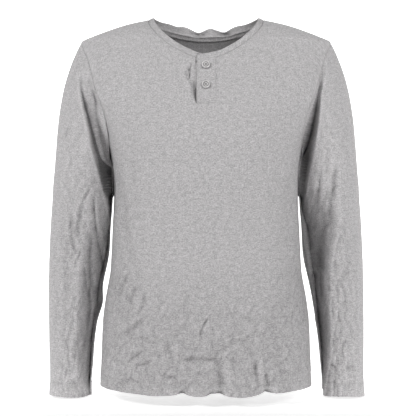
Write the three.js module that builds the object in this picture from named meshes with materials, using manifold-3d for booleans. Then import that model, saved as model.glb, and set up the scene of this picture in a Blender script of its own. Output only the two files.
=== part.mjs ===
// A long-sleeved henley shirt in grey marl jersey, filled out as it is worn.
// Millimetres, +Z up. The wearer faces -Y and the wearer's left arm is at +X.
// The origin is midway between the shoulders, level with the middle of the shoulder seams,
// where the wearer's shoulders hold the shirt up.
import * as THREE from "three";
import { mergeVertices } from "three/addons/utils/BufferGeometryUtils.js";
import Module from "manifold-3d";

// ---------------------------------------------------------------- driving sizes
const CLOTH = 1.8; // jersey wall, with the loft of its creases
const HEM_FOLD = 0.9; // what a turned-up hem adds on the inside
const SEAM_GAP = 0.3; // between two sewn pieces
const BODY_HEM = 22; // depth of the turned hem of the body
const CUFF_HEM = 25; // depth of the turned hem of a sleeve

const NECK_HALF = 108; // from the centre line to the neck seam on the shoulder
const NECK_TOP = 21.5; // height of that point
const FRONT_DROP = 83; // neck seam, from that point down to the centre front
const BACK_DROP = 20.5; // and down to the centre back

const TIP_Z = -22; // shoulder point, where the sleeve starts
const UNDERARM_Z = -215;
const ARMHOLE_FRONT = 52; // depth of the armhole in front of the shoulder line
const ARMHOLE_BACK = 64; // and behind it
const CHEST_DIP = 12; // the chest row of the panels sags this far below the underarm
const HEM_CENTRE_Z = -661;
const HEM_SIDE_RISE = 3;

const PLACKET_HALF = 17.5;
const PLACKET_BOW = 6; // how far the slot's loose edge stands away from the placket
const PLACKET_FOLD = 2.4; // doubled cloth
const PLACKET_LIFT = 1.2; // the upper placket stands this far proud of the chest
const PLACKET_TUCK = 5; // the lower placket runs on this far behind the chest
const BUTTON_Z = [-73.5, -111];
const BUTTON_R = 7.5;

const BAND_WIDTH = 11.5;
const BAND_FOLD = 2.6; // doubled cloth of the neckband
const BAND_LIFT = 0.4;
const TAPE_WIDTH = 9;
const TAPE_THICK = 1.0;

const ROUNDNESS = 2.3; // exponent of the body's superellipse: 2 is an ellipse
const SLEEVE_TOP_Z = -262; // from here down the sleeve's sections are level

// ---------------------------------------------------------------- sections
// The body, as level sections: half width, and depth in front of and behind the shoulder line.
const TORSO = [
  { z: 30, width: 74, front: 5, back: 20 },
  { z: NECK_TOP, width: NECK_HALF, front: 11, back: 32 },
  { z: 11, width: 151, front: 26, back: 50 },
  { z: 0, width: 184, front: 39, back: 63 },
  { z: -11, width: 212, front: 47.5, back: 73 },
  { z: TIP_Z, width: 234, front: 54, back: 80 },
  { z: -40, width: 239, front: 63, back: 88 },
  { z: -62, width: 240, front: 73, back: 96 },
  { z: -90, width: 236, front: 84, back: 104 },
  { z: -118, width: 226, front: 95, back: 110 },
  { z: -158, width: 203, front: 108, back: 114 },
  { z: UNDERARM_Z, width: 180, front: 117, back: 113 },
  { z: -262, width: 173.2, front: 117, back: 108 },
  { z: -310, width: 171.5, front: 114, back: 101 },
  { z: -380, width: 174.5, front: 111, back: 99 },
  { z: -445, width: 178, front: 111, back: 103 },
  { z: -502, width: 187.5, front: 112.5, back: 108 },
  { z: -540, width: 192, front: 113.5, back: 110.5 },
  { z: -600, width: 194.5, front: 115, back: 113 },
  { z: -680, width: 198, front: 117, back: 115 },
];
// One sleeve, as level sections: centre and half size across (x) and front to back (y).
const SLEEVE = [
  { z: SLEEVE_TOP_Z, x: 229.2, width: 54.2, y: 5, depth: 62.5 },
  { z: -295, x: 230.4, width: 55.8, y: 5, depth: 60.5 },
  { z: -329, x: 232.2, width: 55.9, y: 4, depth: 57 },
  { z: -389, x: 237.2, width: 54.4, y: 2, depth: 50 },
  { z: -426, x: 239.8, width: 52.8, y: 0, depth: 47 },
  { z: -464, x: 243, width: 50.4, y: -2, depth: 44.5 },
  { z: -501, x: 246.3, width: 47.3, y: -4, depth: 42.5 },
  { z: -539, x: 249, width: 44.6, y: -6, depth: 40 },
  { z: -576, x: 251.4, width: 42, y: -8, depth: 38 },
  { z: -614, x: 252.8, width: 40, y: -9, depth: 35.5 },
  { z: -651, x: 254.6, width: 38.4, y: -10, depth: 33 },
  { z: -677, x: 256, width: 39, y: -11, depth: 32 },
];
const CUFF_Z = SLEEVE[SLEEVE.length - 1].z;
// The wearer's right cuff hangs a little nearer the body than the left.
const CUFF_SWING = { right: 3.5, from: -470 };

// ---------------------------------------------------------------- folds
// Body folds: centre, half length and half width in mm, slant from upright in degrees,
// and depth (out is positive). side -1 is the front, +1 the back.
const BODY_FOLDS = [
  { side: -1, x: -140, z: -330, length: 120, width: 16, slant: 14, depth: -4 },
  { side: -1, x: 138, z: -300, length: 130, width: 16, slant: -10, depth: -4 },
  { side: -1, x: 152, z: -452, length: 90, width: 15, slant: 12, depth: -3.5 },
  { side: -1, x: -118, z: -520, length: 95, width: 20, slant: 24, depth: -3 },
  { side: -1, x: 62, z: -585, length: 75, width: 24, slant: -16, depth: 4 },
  { side: -1, x: -60, z: -600, length: 60, width: 20, slant: 12, depth: -3.5 },
  { side: -1, x: -12, z: -560, length: 70, width: 22, slant: -8, depth: 3 },
  { side: -1, x: -31, z: -96, length: 42, width: 13, slant: 8, depth: 3 },
  { side: 1, x: -130, z: -300, length: 130, width: 18, slant: 16, depth: -5 },
  { side: 1, x: 132, z: -310, length: 120, width: 18, slant: -14, depth: -5 },
  { side: 1, x: -48, z: -430, length: 150, width: 24, slant: 6, depth: 4 },
  { side: 1, x: 60, z: -470, length: 140, width: 26, slant: -7, depth: 4 },
  { side: 1, x: 4, z: -560, length: 90, width: 22, slant: 3, depth: -4 },
  { side: 1, x: 118, z: -560, length: 90, width: 22, slant: 12, depth: 4 },
];
// Waves of the body's hem: centre and half width along x, push outwards and drop of the edge.
const HEM_WAVES = [
  { side: -1, x: -140, width: 22, out: 2, drop: 0.5 },
  { side: -1, x: -95, width: 26, out: 5, drop: 1.5 },
  { side: -1, x: -43, width: 14, out: -6, drop: -2.5 },
  { side: -1, x: -14, width: 16, out: 4, drop: 1 },
  { side: -1, x: 20, width: 14, out: -5, drop: -2 },
  { side: -1, x: 64, width: 24, out: 7, drop: 3 },
  { side: -1, x: 106, width: 15, out: -4, drop: -2 },
  { side: 1, x: -120, width: 26, out: 6, drop: 2 },
  { side: 1, x: -58, width: 22, out: -5, drop: -2 },
  { side: 1, x: 8, width: 26, out: 6, drop: 2 },
  { side: 1, x: 70, width: 22, out: -5, drop: -1 },
  { side: 1, x: 126, width: 24, out: 5, drop: 2 },
];
const HEM_WAVE_HEIGHT = 70; // how far up the body the hem's waves die out
// Sleeve folds, by the angle round the sleeve at their upper and lower ends (0 faces the body,
// 90 the front, 180 outwards, 270 the back). side 0 is on both sleeves.
const SLEEVE_FOLDS = [
  { side: 0, top: -95, bottom: -345, from: 78, to: 18, width: 24, depth: -15 },
  { side: -1, top: -105, bottom: -350, from: 118, to: 62, width: 22, depth: 5 },
  { side: 1, top: -80, bottom: -330, from: 104, to: 58, width: 20, depth: 4 },
  { side: 0, top: -110, bottom: -320, from: 280, to: 340, width: 24, depth: -12 },
  { side: 1, top: -205, bottom: -400, from: 106, to: 72, width: 13, depth: -8 },
  { side: -1, top: -230, bottom: -420, from: 84, to: 60, width: 14, depth: -7 },
  { side: 1, top: -300, bottom: -540, from: 48, to: 30, width: 18, depth: -6 },
  { side: -1, top: -330, bottom: -600, from: 40, to: 52, width: 15, depth: -6 },
  { side: 1, top: -500, bottom: -650, from: 62, to: 84, width: 13, depth: -4 },
  { side: -1, top: -150, bottom: -420, from: 138, to: 120, width: 16, depth: -3 },
  { side: 1, top: -420, bottom: -600, from: 150, to: 140, width: 16, depth: 3 },
  { side: 0, top: -300, bottom: -520, from: 262, to: 240, width: 20, depth: -6 },
  { side: 0, top: -420, bottom: -620, from: 300, to: 320, width: 18, depth: -5 },
];
// Ripples of the neckband's free edge across the back of the neck.
const NECK_RIPPLES = [
  { x: -78, width: 13, up: 3, back: 2 },
  { x: -47, width: 14, up: 4.5, back: 3 },
  { x: -17, width: 11, up: -4, back: -3 },
  { x: 9, width: 12, up: 5, back: 4 },
  { x: 40, width: 11, up: -5, back: -4 },
  { x: 66, width: 11, up: 2, back: 2 },
];

// ---------------------------------------------------------------- mesh density
const NECK_COLS = 6; // from the placket's edge to the shoulder
const SHOULDER_COLS = 6; // along a shoulder seam
const HALF_COLS = 1 + NECK_COLS + SHOULDER_COLS;
const SIDE_ROWS = 14; // from hem to underarm
const ARM_ROWS = 12; // from underarm to shoulder, and half of the sleeve's points
const SLOT_ROWS = 5; // of those, the ones below the placket
const CAP_ROWS = 9; // from armhole to the sleeve's first level section
const SLEEVE_ROWS = 18;
const RING = 2 * ARM_ROWS;

// ---------------------------------------------------------------- small helpers
const { abs, cos, sin, sqrt, sign, min, max, exp, PI } = Math;
const rad = THREE.MathUtils.degToRad;
const lerp = THREE.MathUtils.lerp;
const vec = (x, y, z) => new THREE.Vector3(x, y, z);
const hump = (distance, width) => exp(-((distance / width) ** 2));

// A smooth curve through one column of a table that never overshoots its rows.
function column(rows, name) {
  const table = [...rows].sort((a, b) => a.z - b.z);
  const z = table.map((row) => row.z);
  const value = table.map((row) => row[name]);
  const slope = z.slice(1).map((_, i) => (value[i + 1] - value[i]) / (z[i + 1] - z[i]));
  const tangent = z.map((_, i) => {
    const before = slope[max(0, i - 1)];
    const after = slope[min(slope.length - 1, i)];
    return before * after <= 0 ? 0 : (2 * before * after) / (before + after);
  });
  return (at) => {
    const last = z.length - 1;
    if (at <= z[0]) return value[0];
    if (at >= z[last]) return value[last];
    let i = 0;
    while (at > z[i + 1]) i++;
    const span = z[i + 1] - z[i];
    const t = (at - z[i]) / span;
    return (
      (2 * t ** 3 - 3 * t ** 2 + 1) * value[i] +
      (t ** 3 - 2 * t ** 2 + t) * span * tangent[i] +
      (3 * t ** 2 - 2 * t ** 3) * value[i + 1] +
      (t ** 3 - t ** 2) * span * tangent[i + 1]
    );
  };
}

const torso = {
  width: column(TORSO, "width"),
  front: column(TORSO, "front"),
  back: column(TORSO, "back"),
};
const sleeve = {
  x: column(SLEEVE, "x"),
  width: column(SLEEVE, "width"),
  y: column(SLEEVE, "y"),
  depth: column(SLEEVE, "depth"),
};

// Share of the full depth at a share s of the half width, and the other way round.
const bulge = (s) => max(0, 1 - min(1, abs(s)) ** ROUNDNESS) ** (1 / ROUNDNESS);
const depthAt = (side, z) => (side < 0 ? torso.front(z) : torso.back(z));
const bodyPoint = (side, x, z) => vec(x, side * depthAt(side, z) * bulge(x / torso.width(z)), z);

// Height of the shoulder line at x.
function shoulderHeight(x) {
  let low = TIP_Z;
  let high = NECK_TOP;
  for (let i = 0; i < 40; i++) {
    const middle = (low + high) / 2;
    if (torso.width(middle) > x) low = middle;
    else high = middle;
  }
  return (low + high) / 2;
}

// Height of the neck seam at x, on the front and on the back.
function neckHeight(side, x) {
  const share = min(1, abs(x) / NECK_HALF);
  if (side > 0) return NECK_TOP - BACK_DROP * (1 - share ** 2);
  return NECK_TOP - FRONT_DROP * (1 - share ** 1.45) ** 0.65;
}

// ---------------------------------------------------------------- folds as heights
function bodyFold(side, x, z) {
  let height = 0;
  for (const fold of BODY_FOLDS.filter((row) => row.side === side)) {
    const turn = rad(fold.slant);
    const along = (z - fold.z) * cos(turn) + (x - fold.x) * sin(turn);
    const across = (x - fold.x) * cos(turn) - (z - fold.z) * sin(turn);
    height += fold.depth * hump(across, fold.width) * hump(along, fold.length * 0.7);
  }
  return height;
}

function hemWave(side, x, z, name) {
  const near = max(0, 1 - (z - HEM_CENTRE_Z) / HEM_WAVE_HEIGHT) ** 2;
  const rows = HEM_WAVES.filter((row) => row.side === side);
  return near * rows.reduce((sum, row) => sum + row[name] * hump(x - row.x, row.width), 0);
}

function sleeveFold(hand, angle, z) {
  let height = 0;
  for (const fold of SLEEVE_FOLDS.filter((row) => row.side === 0 || row.side === hand)) {
    const t = (fold.top - z) / (fold.top - fold.bottom);
    if (t <= 0 || t >= 1) continue;
    let away = angle - lerp(fold.from, fold.to, t);
    away -= 360 * Math.round(away / 360);
    height += fold.depth * sin(PI * t) ** 1.5 * hump(away, fold.width);
  }
  return height;
}

// ---------------------------------------------------------------- grids of outer points
// A grid holds point[row][column] and normal[row][column]; a ring closes on itself.
const makeGrid = (point, ring = false) => ({ point, ring, normal: normalsOf(point, ring) });

function normalsOf(point, ring) {
  const rows = point.length;
  const cols = point[0].length;
  return point.map((line, r) =>
    line.map((_, c) => {
      const left = ring ? (c + cols - 1) % cols : max(0, c - 1);
      const right = ring ? (c + 1) % cols : min(cols - 1, c + 1);
      const along = point[r][right].clone().sub(point[r][left]);
      const up = point[min(rows - 1, r + 1)][c].clone().sub(point[max(0, r - 1)][c]);
      return along.cross(up).normalize();
    }),
  );
}

// Moves every point along its normal by height(row, column).
function pushOut(grid, height) {
  const point = grid.point.map((line, r) =>
    line.map((p, c) => p.clone().addScaledVector(grid.normal[r][c], height(r, c))),
  );
  return makeGrid(point, grid.ring);
}

// Share of the half width at the underarm row, for each column counted from the centre.
const chestZ = (k) => UNDERARM_Z - CHEST_DIP * (1 - (k / HALF_COLS) ** 2);
const firstTurn = Math.asin((PLACKET_HALF / torso.width(chestZ(1))) ** (ROUNDNESS / 2));
function widthShare(k) {
  if (k === 0) return 0;
  const turn = lerp(firstTurn, PI / 2, (k - 1) / (HALF_COLS - 1));
  return sin(turn) ** (2 / ROUNDNESS);
}

// Where column k ends at the neck or shoulder seam.
function topOf(side, k) {
  const lastNeck = 1 + NECK_COLS;
  if (k > lastNeck) {
    const x = lerp(NECK_HALF, torso.width(TIP_Z), (k - lastNeck) / SHOULDER_COLS);
    return { x, z: k === HALF_COLS ? TIP_Z : shoulderHeight(x) };
  }
  const start = Math.asin(PLACKET_HALF / NECK_HALF);
  const x = k === 0 ? 0 : NECK_HALF * sin(lerp(start, PI / 2, (k - 1) / NECK_COLS));
  // The slot's bottom is level: the centre column runs no lower than the placket's edge.
  return { x, z: k === lastNeck ? NECK_TOP : neckHeight(side, side < 0 ? max(x, PLACKET_HALF) : x) };
}

// The armhole is an oval seen from the side; t runs from underarm (0) to shoulder point (1).
function armholeX(side, t, z) {
  const depth = (side < 0 ? ARMHOLE_FRONT : ARMHOLE_BACK) * sin(PI * t ** 0.82);
  return torso.width(z) * bulge(depth / depthAt(side, z));
}

// Height share of a row above the underarm: close rows at the shoulder and round the armhole,
// where the form turns, and even ones towards the centre.
function rise(t, k = HALF_COLS) {
  const turning = (1 - cos(PI * t)) / 2;
  const even = 1 - (1 - t) ** 1.25;
  return lerp(even, turning, min(1, max(0, k - 1) / NECK_COLS) ** 2);
}

// The slot's loose edge bows away from the placket, and the cloth beside it follows.
function slotBow(side, x, z) {
  const bottom = slotBottom();
  const top = neckHeight(-1, PLACKET_HALF);
  if (side > 0 || x > -PLACKET_HALF + 0.01 || z < bottom || z > top + 1) return 0;
  const t = (z - bottom) / (top - bottom);
  const shape = sin(PI * min(1, max(0, t)) ** 0.8);
  return -PLACKET_BOW * shape * hump(x + PLACKET_HALF, 26);
}

function slotBottom() {
  return lerp(chestZ(0), topOf(-1, 0).z, rise(SLOT_ROWS / ARM_ROWS, 0));
}

// One point of a body panel before folds, with row r from the hem and k columns from the centre.
function panelPlace(side, r, k) {
  const share = widthShare(k);
  const chest = chestZ(k);
  if (r <= SIDE_ROWS) {
    const hem = HEM_CENTRE_Z + HEM_SIDE_RISE * share ** 2;
    const z = r < 2 ? hem + r * BODY_HEM : lerp(hem + BODY_HEM, chest, (r - 1) / (SIDE_ROWS - 1));
    return { x: torso.width(z) * share, z };
  }
  const t = (r - SIDE_ROWS) / ARM_ROWS;
  const top = topOf(side, k);
  const up = rise(t, k);
  const z = lerp(chest, top.z, up);
  const edgeZ = lerp(UNDERARM_Z, TIP_Z, rise(t));
  const straight = lerp(torso.width(UNDERARM_Z), torso.width(TIP_Z), rise(t));
  const pull = (k / HALF_COLS) ** 4 * (armholeX(side, t, edgeZ) - straight);
  return { x: lerp(torso.width(chest) * share, top.x, up) + pull, z };
}

function bodyPanel(side) {
  const rows = SIDE_ROWS + ARM_ROWS;
  const flat = [];
  for (let r = 0; r <= rows; r++) {
    const line = [];
    for (let c = -HALF_COLS; c <= HALF_COLS; c++) {
      const place = panelPlace(side, r, abs(c));
      const x = sign(c) * place.x;
      const p = bodyPoint(side, x, place.z);
      p.x += slotBow(side, x, place.z);
      p.z -= hemWave(side, x, place.z, "drop");
      line.push(p);
    }
    flat.push(side < 0 ? line : line.reverse());
  }
  // Folds fade out at the seams, so that neighbouring pieces still meet.
  const cols = 2 * HALF_COLS;
  return pushOut(makeGrid(flat), (r, c) => {
    const fade = min(1, min(c, cols - c) / 3) * min(1, (rows - r) / 3);
    const p = flat[r][c];
    return fade * (bodyFold(side, p.x, p.z) + hemWave(side, p.x, p.z, "out"));
  });
}

// The sleeve starts on the armhole's own points, swings down over the shoulder and hangs.
// Column 0 is the underarm, a quarter of the ring is the front, half of it the shoulder.
function sleevePanel(hand, front, back) {
  const edge = (grid, r, outer) => grid.point[r][outer ? 2 * HALF_COLS : 0];
  const first = [];
  for (let c = 0; c < RING; c++) {
    const onFront = c <= ARM_ROWS;
    const r = SIDE_ROWS + (onFront ? c : RING - c);
    first.push(edge(onFront ? front : back, r, onFront === hand > 0).clone());
  }
  const level = (c, z) => {
    const turn = (2 * PI * c) / RING;
    const swing = hand < 0 ? CUFF_SWING.right * max(0, (CUFF_SWING.from - z) / (CUFF_SWING.from - CUFF_Z)) : 0;
    return vec(
      hand * (sleeve.x(z) - swing - sleeve.width(z) * cos(turn)),
      sleeve.y(z) - sleeve.depth(z) * sin(turn),
      z,
    );
  };
  const point = [first];
  for (let r = 1; r <= CAP_ROWS; r++) {
    const t = (r / CAP_ROWS) ** 1.35;
    point.push(first.map((start, c) => capPoint(hand, start, level(c, SLEEVE_TOP_Z), t)));
  }
  for (let r = 1; r <= SLEEVE_ROWS; r++) {
    const above = CUFF_Z + CUFF_HEM;
    const t = min(1, r / (SLEEVE_ROWS - 1));
    const z = r === SLEEVE_ROWS ? CUFF_Z : lerp(SLEEVE_TOP_Z, above, t);
    point.push(first.map((_, c) => level(c, z)));
  }
  const lines = hand < 0 ? point : point.map((line) => [line[0], ...line.slice(1).reverse()]);
  const place = (c) => (hand < 0 ? c : (RING - c) % RING);
  return pushOut(makeGrid(lines, true), (r, c) => {
    const fade = min(1, r / 3);
    return fade * sleeveFold(hand, (360 * place(c)) / RING, lines[r][c].z);
  });
}

// From the armhole the cloth leaves outwards, then turns down into the hanging sleeve.
const LEAVE = 2.6;
const ARRIVE = 0.4;
const CLEAR = 4; // keeps the underside of the sleeve off the body
function capPoint(hand, start, end, t) {
  const reach = end.clone().sub(start);
  const leave = vec(hand * max(hand * reach.x, CLEAR) * LEAVE, reach.y, reach.z);
  const arrive = vec(reach.x * ARRIVE, 0, reach.z);
  return start
    .clone()
    .multiplyScalar(2 * t ** 3 - 3 * t ** 2 + 1)
    .addScaledVector(leave, t ** 3 - 2 * t ** 2 + t)
    .addScaledVector(end, 3 * t ** 2 - 2 * t ** 3)
    .addScaledVector(arrive, t ** 3 - t ** 2);
}

// ---------------------------------------------------------------- seams
// Two edges that are sewn together share one normal, which lies halfway between the two
// cloths, and each is drawn back by half of the gap. An edge is a list of { grid, at, inside },
// where at and inside are [row, column] of the edge point and of its neighbour in the cloth.
function inward({ grid, at, inside }) {
  const edge = grid.point[at[0]][at[1]];
  return grid.point[inside[0]][inside[1]].clone().sub(edge).normalize();
}

function sew(edgeA, edgeB) {
  edgeA.forEach((a, i) => {
    const b = edgeB[i];
    const outer = a.grid.normal[a.at[0]][a.at[1]].clone().add(b.grid.normal[b.at[0]][b.at[1]]);
    const inner = inward(a).add(inward(b));
    const shared = outer.addScaledVector(inner, outer.dot(inner) < 0 ? -1 : 1).normalize();
    a.grid.normal[a.at[0]][a.at[1]] = shared.clone();
    b.grid.normal[b.at[0]][b.at[1]] = shared.clone();
  });
}

function drawBack(edge, share = () => 0.6) {
  const moves = edge.map((e, i) => inward(e).multiplyScalar(SEAM_GAP * share(i)));
  edge.forEach((e, i) => e.grid.point[e.at[0]][e.at[1]].add(moves[i]));
}

// ---------------------------------------------------------------- walls
// Closes a grid into a wall. thickness and lift are functions of (row, column); keep says
// which cells of the grid are cloth.
function wall(grid, { thickness = () => CLOTH, lift = () => 0, keep = () => true } = {}) {
  const { point, normal, ring } = grid;
  const rows = point.length;
  const cols = point[0].length;
  const cells = ring ? cols : cols - 1;
  const position = [];
  for (const inner of [0, 1])
    for (let r = 0; r < rows; r++)
      for (let c = 0; c < cols; c++) {
        const out = lift(r, c) - inner * thickness(r, c);
        position.push(...point[r][c].clone().addScaledVector(normal[r][c], out).toArray());
      }
  const at = (inner, r, c) => (inner * rows + r) * cols + (c % cols);
  const isCell = (r, c) => {
    if (r < 0 || r >= rows - 1) return false;
    if (!ring && (c < 0 || c >= cells)) return false;
    return keep(r, (c + cells) % cells);
  };
  const index = [];
  const corner = (i) => vec(...position.slice(i * 3, i * 3 + 3));
  // The shorter diagonal follows folds best, and the two faces of a seam pick the same one.
  const quad = (a, b, c, d) => {
    const short = corner(a).distanceTo(corner(c)) <= corner(b).distanceTo(corner(d));
    index.push(...(short ? [a, b, c, a, c, d] : [a, b, d, b, c, d]));
  };
  for (let r = 0; r < rows - 1; r++)
    for (let c = 0; c < cells; c++) {
      if (!isCell(r, c)) continue;
      quad(at(0, r, c), at(0, r, c + 1), at(0, r + 1, c + 1), at(0, r + 1, c));
      quad(at(1, r, c), at(1, r + 1, c), at(1, r + 1, c + 1), at(1, r, c + 1));
      if (!isCell(r - 1, c)) quad(at(0, r, c), at(1, r, c), at(1, r, c + 1), at(0, r, c + 1));
      if (!isCell(r + 1, c))
        quad(at(0, r + 1, c + 1), at(1, r + 1, c + 1), at(1, r + 1, c), at(0, r + 1, c));
      if (!isCell(r, c - 1)) quad(at(0, r + 1, c), at(1, r + 1, c), at(1, r, c), at(0, r, c));
      if (!isCell(r, c + 1))
        quad(at(0, r, c + 1), at(1, r, c + 1), at(1, r + 1, c + 1), at(0, r + 1, c + 1));
    }
  const used = [...new Set(index)];
  const renumber = new Map(used.map((old, i) => [old, i]));
  const kept = used.flatMap((old) => position.slice(old * 3, old * 3 + 3));
  return new THREE.BufferGeometry()
    .setAttribute("position", new THREE.Float32BufferAttribute(kept, 3))
    .setIndex(index.map((old) => renumber.get(old)));
}

// ---------------------------------------------------------------- body and sleeves
const front = bodyPanel(-1);
const back = bodyPanel(1);
const sleeveLeft = sleevePanel(1, front, back);
const sleeveRight = sleevePanel(-1, front, back);

const LAST_COL = 2 * HALF_COLS;
const LAST_ROW = SIDE_ROWS + ARM_ROWS;
const range = (from, to) => Array.from({ length: to - from + 1 }, (_, i) => from + i);
// The edge of a panel at the wearer's left (+X) or right, over the rows given.
function sideEdge(grid, hand, rows) {
  const outer = (grid === front) === hand > 0;
  const c = outer ? LAST_COL : 0;
  return rows.map((r) => ({ grid, at: [r, c], inside: [r, outer ? c - 1 : 1] }));
}
function shoulderEdge(grid, hand) {
  const outer = (grid === front) === hand > 0;
  const columns = range(0, SHOULDER_COLS).map((i) => (outer ? LAST_COL - i : i));
  return columns.map((c) => ({ grid, at: [LAST_ROW, c], inside: [LAST_ROW - 1, c] }));
}
function sleeveEdge(grid, hand, onFront) {
  const columns = range(0, ARM_ROWS).map((i) => (onFront === hand > 0 ? (RING - i) % RING : i));
  return columns.map((c) => ({ grid, at: [0, c], inside: [1, c] }));
}

for (const [hand, sleeveGrid] of [[1, sleeveLeft], [-1, sleeveRight]]) {
  const armRows = range(SIDE_ROWS, LAST_ROW);
  const sideRows = range(0, SIDE_ROWS);
  const seams = [
    [sideEdge(front, hand, sideRows), sideEdge(back, hand, sideRows)],
    [shoulderEdge(front, hand), shoulderEdge(back, hand)],
    [sideEdge(front, hand, armRows), sleeveEdge(sleeveGrid, hand, true)],
    [sideEdge(back, hand, armRows), sleeveEdge(sleeveGrid, hand, false)],
  ];
  seams.forEach(([a, b]) => sew(a, b));
  // Three pieces meet at the underarm and at the shoulder point, and share one normal there.
  for (const row of [0, ARM_ROWS]) {
    const [frontEdge, sleeveFront] = seams[2];
    const [backEdge] = seams[3];
    const meeting = [frontEdge[row], backEdge[row], sleeveFront[row]];
    const shared = row === 0 ? vec(0, 0, -1) : vec(hand * 0.5, 0, 0.87);
    for (const { grid, at } of meeting) grid.normal[at[0]][at[1]] = shared.clone();
  }
  seams.slice(0, 2).forEach((pair) => pair.forEach((edge) => drawBack(edge)));
  // The seam twists most beside the underarm, and opens a little more there.
  const armGap = (i) => (i < 2 ? 0.9 : 0.6);
  drawBack(seams[2][0], armGap);
  drawBack(seams[3][0], armGap);
  drawBack(seams[2][1], armGap);
  drawBack(seams[3][1].slice(1, -1), (i) => armGap(i + 1));
}

// The slot for the placket: the cells between its two edges, from the neck halfway down.
const CENTRE = HALF_COLS;
const SLOT_ROW = SIDE_ROWS + SLOT_ROWS;
const inSlot = (r, c) => r >= SLOT_ROW && (c === CENTRE - 1 || c === CENTRE);
const neckColumns = (from, to) => range(from, to);
for (const c of [CENTRE - 1, CENTRE + 1]) {
  const away = c < CENTRE ? c - 1 : c + 1;
  drawBack(range(SLOT_ROW + 1, LAST_ROW).map((r) => ({ grid: front, at: [r, c], inside: [r, away] })));
}
const hemThick = (r) => CLOTH + (r < 2 ? HEM_FOLD : 0);
const cuffRow = CAP_ROWS + SLEEVE_ROWS - 1;
const cuffThick = (r) => CLOTH + (r >= cuffRow ? HEM_FOLD : 0);

// ---------------------------------------------------------------- neckband and its tape
// The free edge of the band stands up and leans in towards the neck.
function bandLean(side, x) {
  const across = min(1, abs(x) / NECK_HALF);
  const straight = sqrt(1 - across ** 2);
  const inwards = side < 0 ? 0.42 : 0.24;
  return vec(-sign(x) * across * 1.15, -side * inwards * straight, 0.6 + 0.4 * straight).normalize();
}
function ripple(side, x, name) {
  if (side < 0) return 0;
  return NECK_RIPPLES.reduce((sum, row) => sum + row[name] * hump(x - row.x, row.width), 0);
}
// The band's path starts under the placket on the wearer's left, runs round the wearer's right
// and the back, and ends on top of the placket. Each step is { side, x, lap }, where lap is 1
// for the end on top, -1 for the end underneath and 0 elsewhere.
function bandPath() {
  const xs = range(1, 1 + NECK_COLS).map((k) => topOf(-1, k).x);
  const lapXs = [1, 0.5, 0, -0.5].map((share) => share * (PLACKET_HALF - 1));
  const backXs = range(1, BACK_BAND_COLS - 1).map((i) => lerp(-NECK_HALF, NECK_HALF, i / BACK_BAND_COLS));
  return [
    ...lapXs.map((x) => ({ side: -1, x, lap: -1 })),
    ...xs.map((x, i) => ({ side: -1, x: -x, lap: i === 0 ? -1 : 0 })),
    ...backXs.map((x) => ({ side: 1, x, lap: 0 })),
    ...[...xs].reverse().map((x, i) => ({ side: -1, x, lap: i === xs.length - 1 ? 1 : 0 })),
    ...[...lapXs, -1].slice(1).map((x, i) => ({ side: -1, x: i === 3 ? -PLACKET_HALF : x, lap: 1 })),
  ];
}
const LAP_SLOPE = 0.16; // the two ends of the band run on at this slope past the centre
function bandSeam({ side, x, lap }) {
  if (lap === 0) return neckEdge(side < 0 ? front : back, x);
  const past = sign(x) === -lap;
  const z = past ? neckHeight(-1, 0) - LAP_SLOPE * abs(x) : neckHeight(side, x);
  return bodyPoint(side, x, z);
}
// The point of a panel's neck edge at x.
function neckEdge(grid, x) {
  const edge = [...grid.point[LAST_ROW]].sort((a, b) => a.x - b.x);
  const i = edge.findIndex((p) => p.x >= x - 1e-6);
  const t = (x - edge[i - 1].x) / (edge[i].x - edge[i - 1].x);
  return edge[i - 1].clone().lerp(edge[i], t);
}
const BAND_ROWS = 3;
const BACK_BAND_COLS = 20;
function neckband() {
  const path = bandPath();
  const seam = path.map(bandSeam);
  const point = range(0, BAND_ROWS).map((r) =>
    path.map((step, c) => {
      const t = r / BAND_ROWS;
      const up = SEAM_GAP * 1.2 + t * BAND_WIDTH;
      const p = seam[c].clone().addScaledVector(bandLean(step.side, step.x), up);
      p.z += t * ripple(step.side, step.x, "up");
      p.y += t * ripple(step.side, step.x, "back");
      return p;
    }),
  );
  const grid = makeGrid(point);
  const lift = (r, c) => {
    if (path[c].lap > 0) return PLACKET_LIFT + 0.2;
    return path[c].lap < 0 ? PLACKET_LIFT - BAND_FOLD - 2 * SEAM_GAP : BAND_LIFT;
  };
  return wall(grid, { thickness: () => BAND_FOLD, lift });
}

// A tape covers the neck seam on the inside of the back, from shoulder to shoulder.
function neckTape() {
  const first = CENTRE - (1 + NECK_COLS);
  const columns = range(first + 1, LAST_COL - first - 1);
  const point = [0, 1].map((r) =>
    columns.map((c) => {
      const top = back.point[LAST_ROW][c];
      const below = back.point[LAST_ROW - 2][c];
      const t = r === 1 ? 0.3 / top.distanceTo(below) : TAPE_WIDTH / top.distanceTo(below);
      return top.clone().lerp(below, min(1, t));
    }),
  );
  const tape = makeGrid(point);
  return wall(tape, { thickness: () => TAPE_THICK, lift: () => -(CLOTH + 2 * SEAM_GAP) });
}

// ---------------------------------------------------------------- plackets
// A strip of the chest between two edges, from the slot's bottom up to the neckband.
const STRIP_ROWS = 8;
function placketStrip(leftEdge, rightEdge, columnsWide, neckOf) {
  const bottom = slotBottom() + SEAM_GAP;
  const point = range(0, STRIP_ROWS).map((r) =>
    range(0, columnsWide).map((c) => {
      const t = r / STRIP_ROWS;
      const roughZ = lerp(bottom, neckHeight(-1, 0), t);
      const x = lerp(leftEdge(roughZ), rightEdge(roughZ), c / columnsWide);
      return bodyPoint(-1, x, lerp(bottom, neckOf(x) - SEAM_GAP, t));
    }),
  );
  return makeGrid(point);
}
const lapNeck = (lap) => (x) => bandSeam({ side: -1, x, lap }).z;

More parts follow.
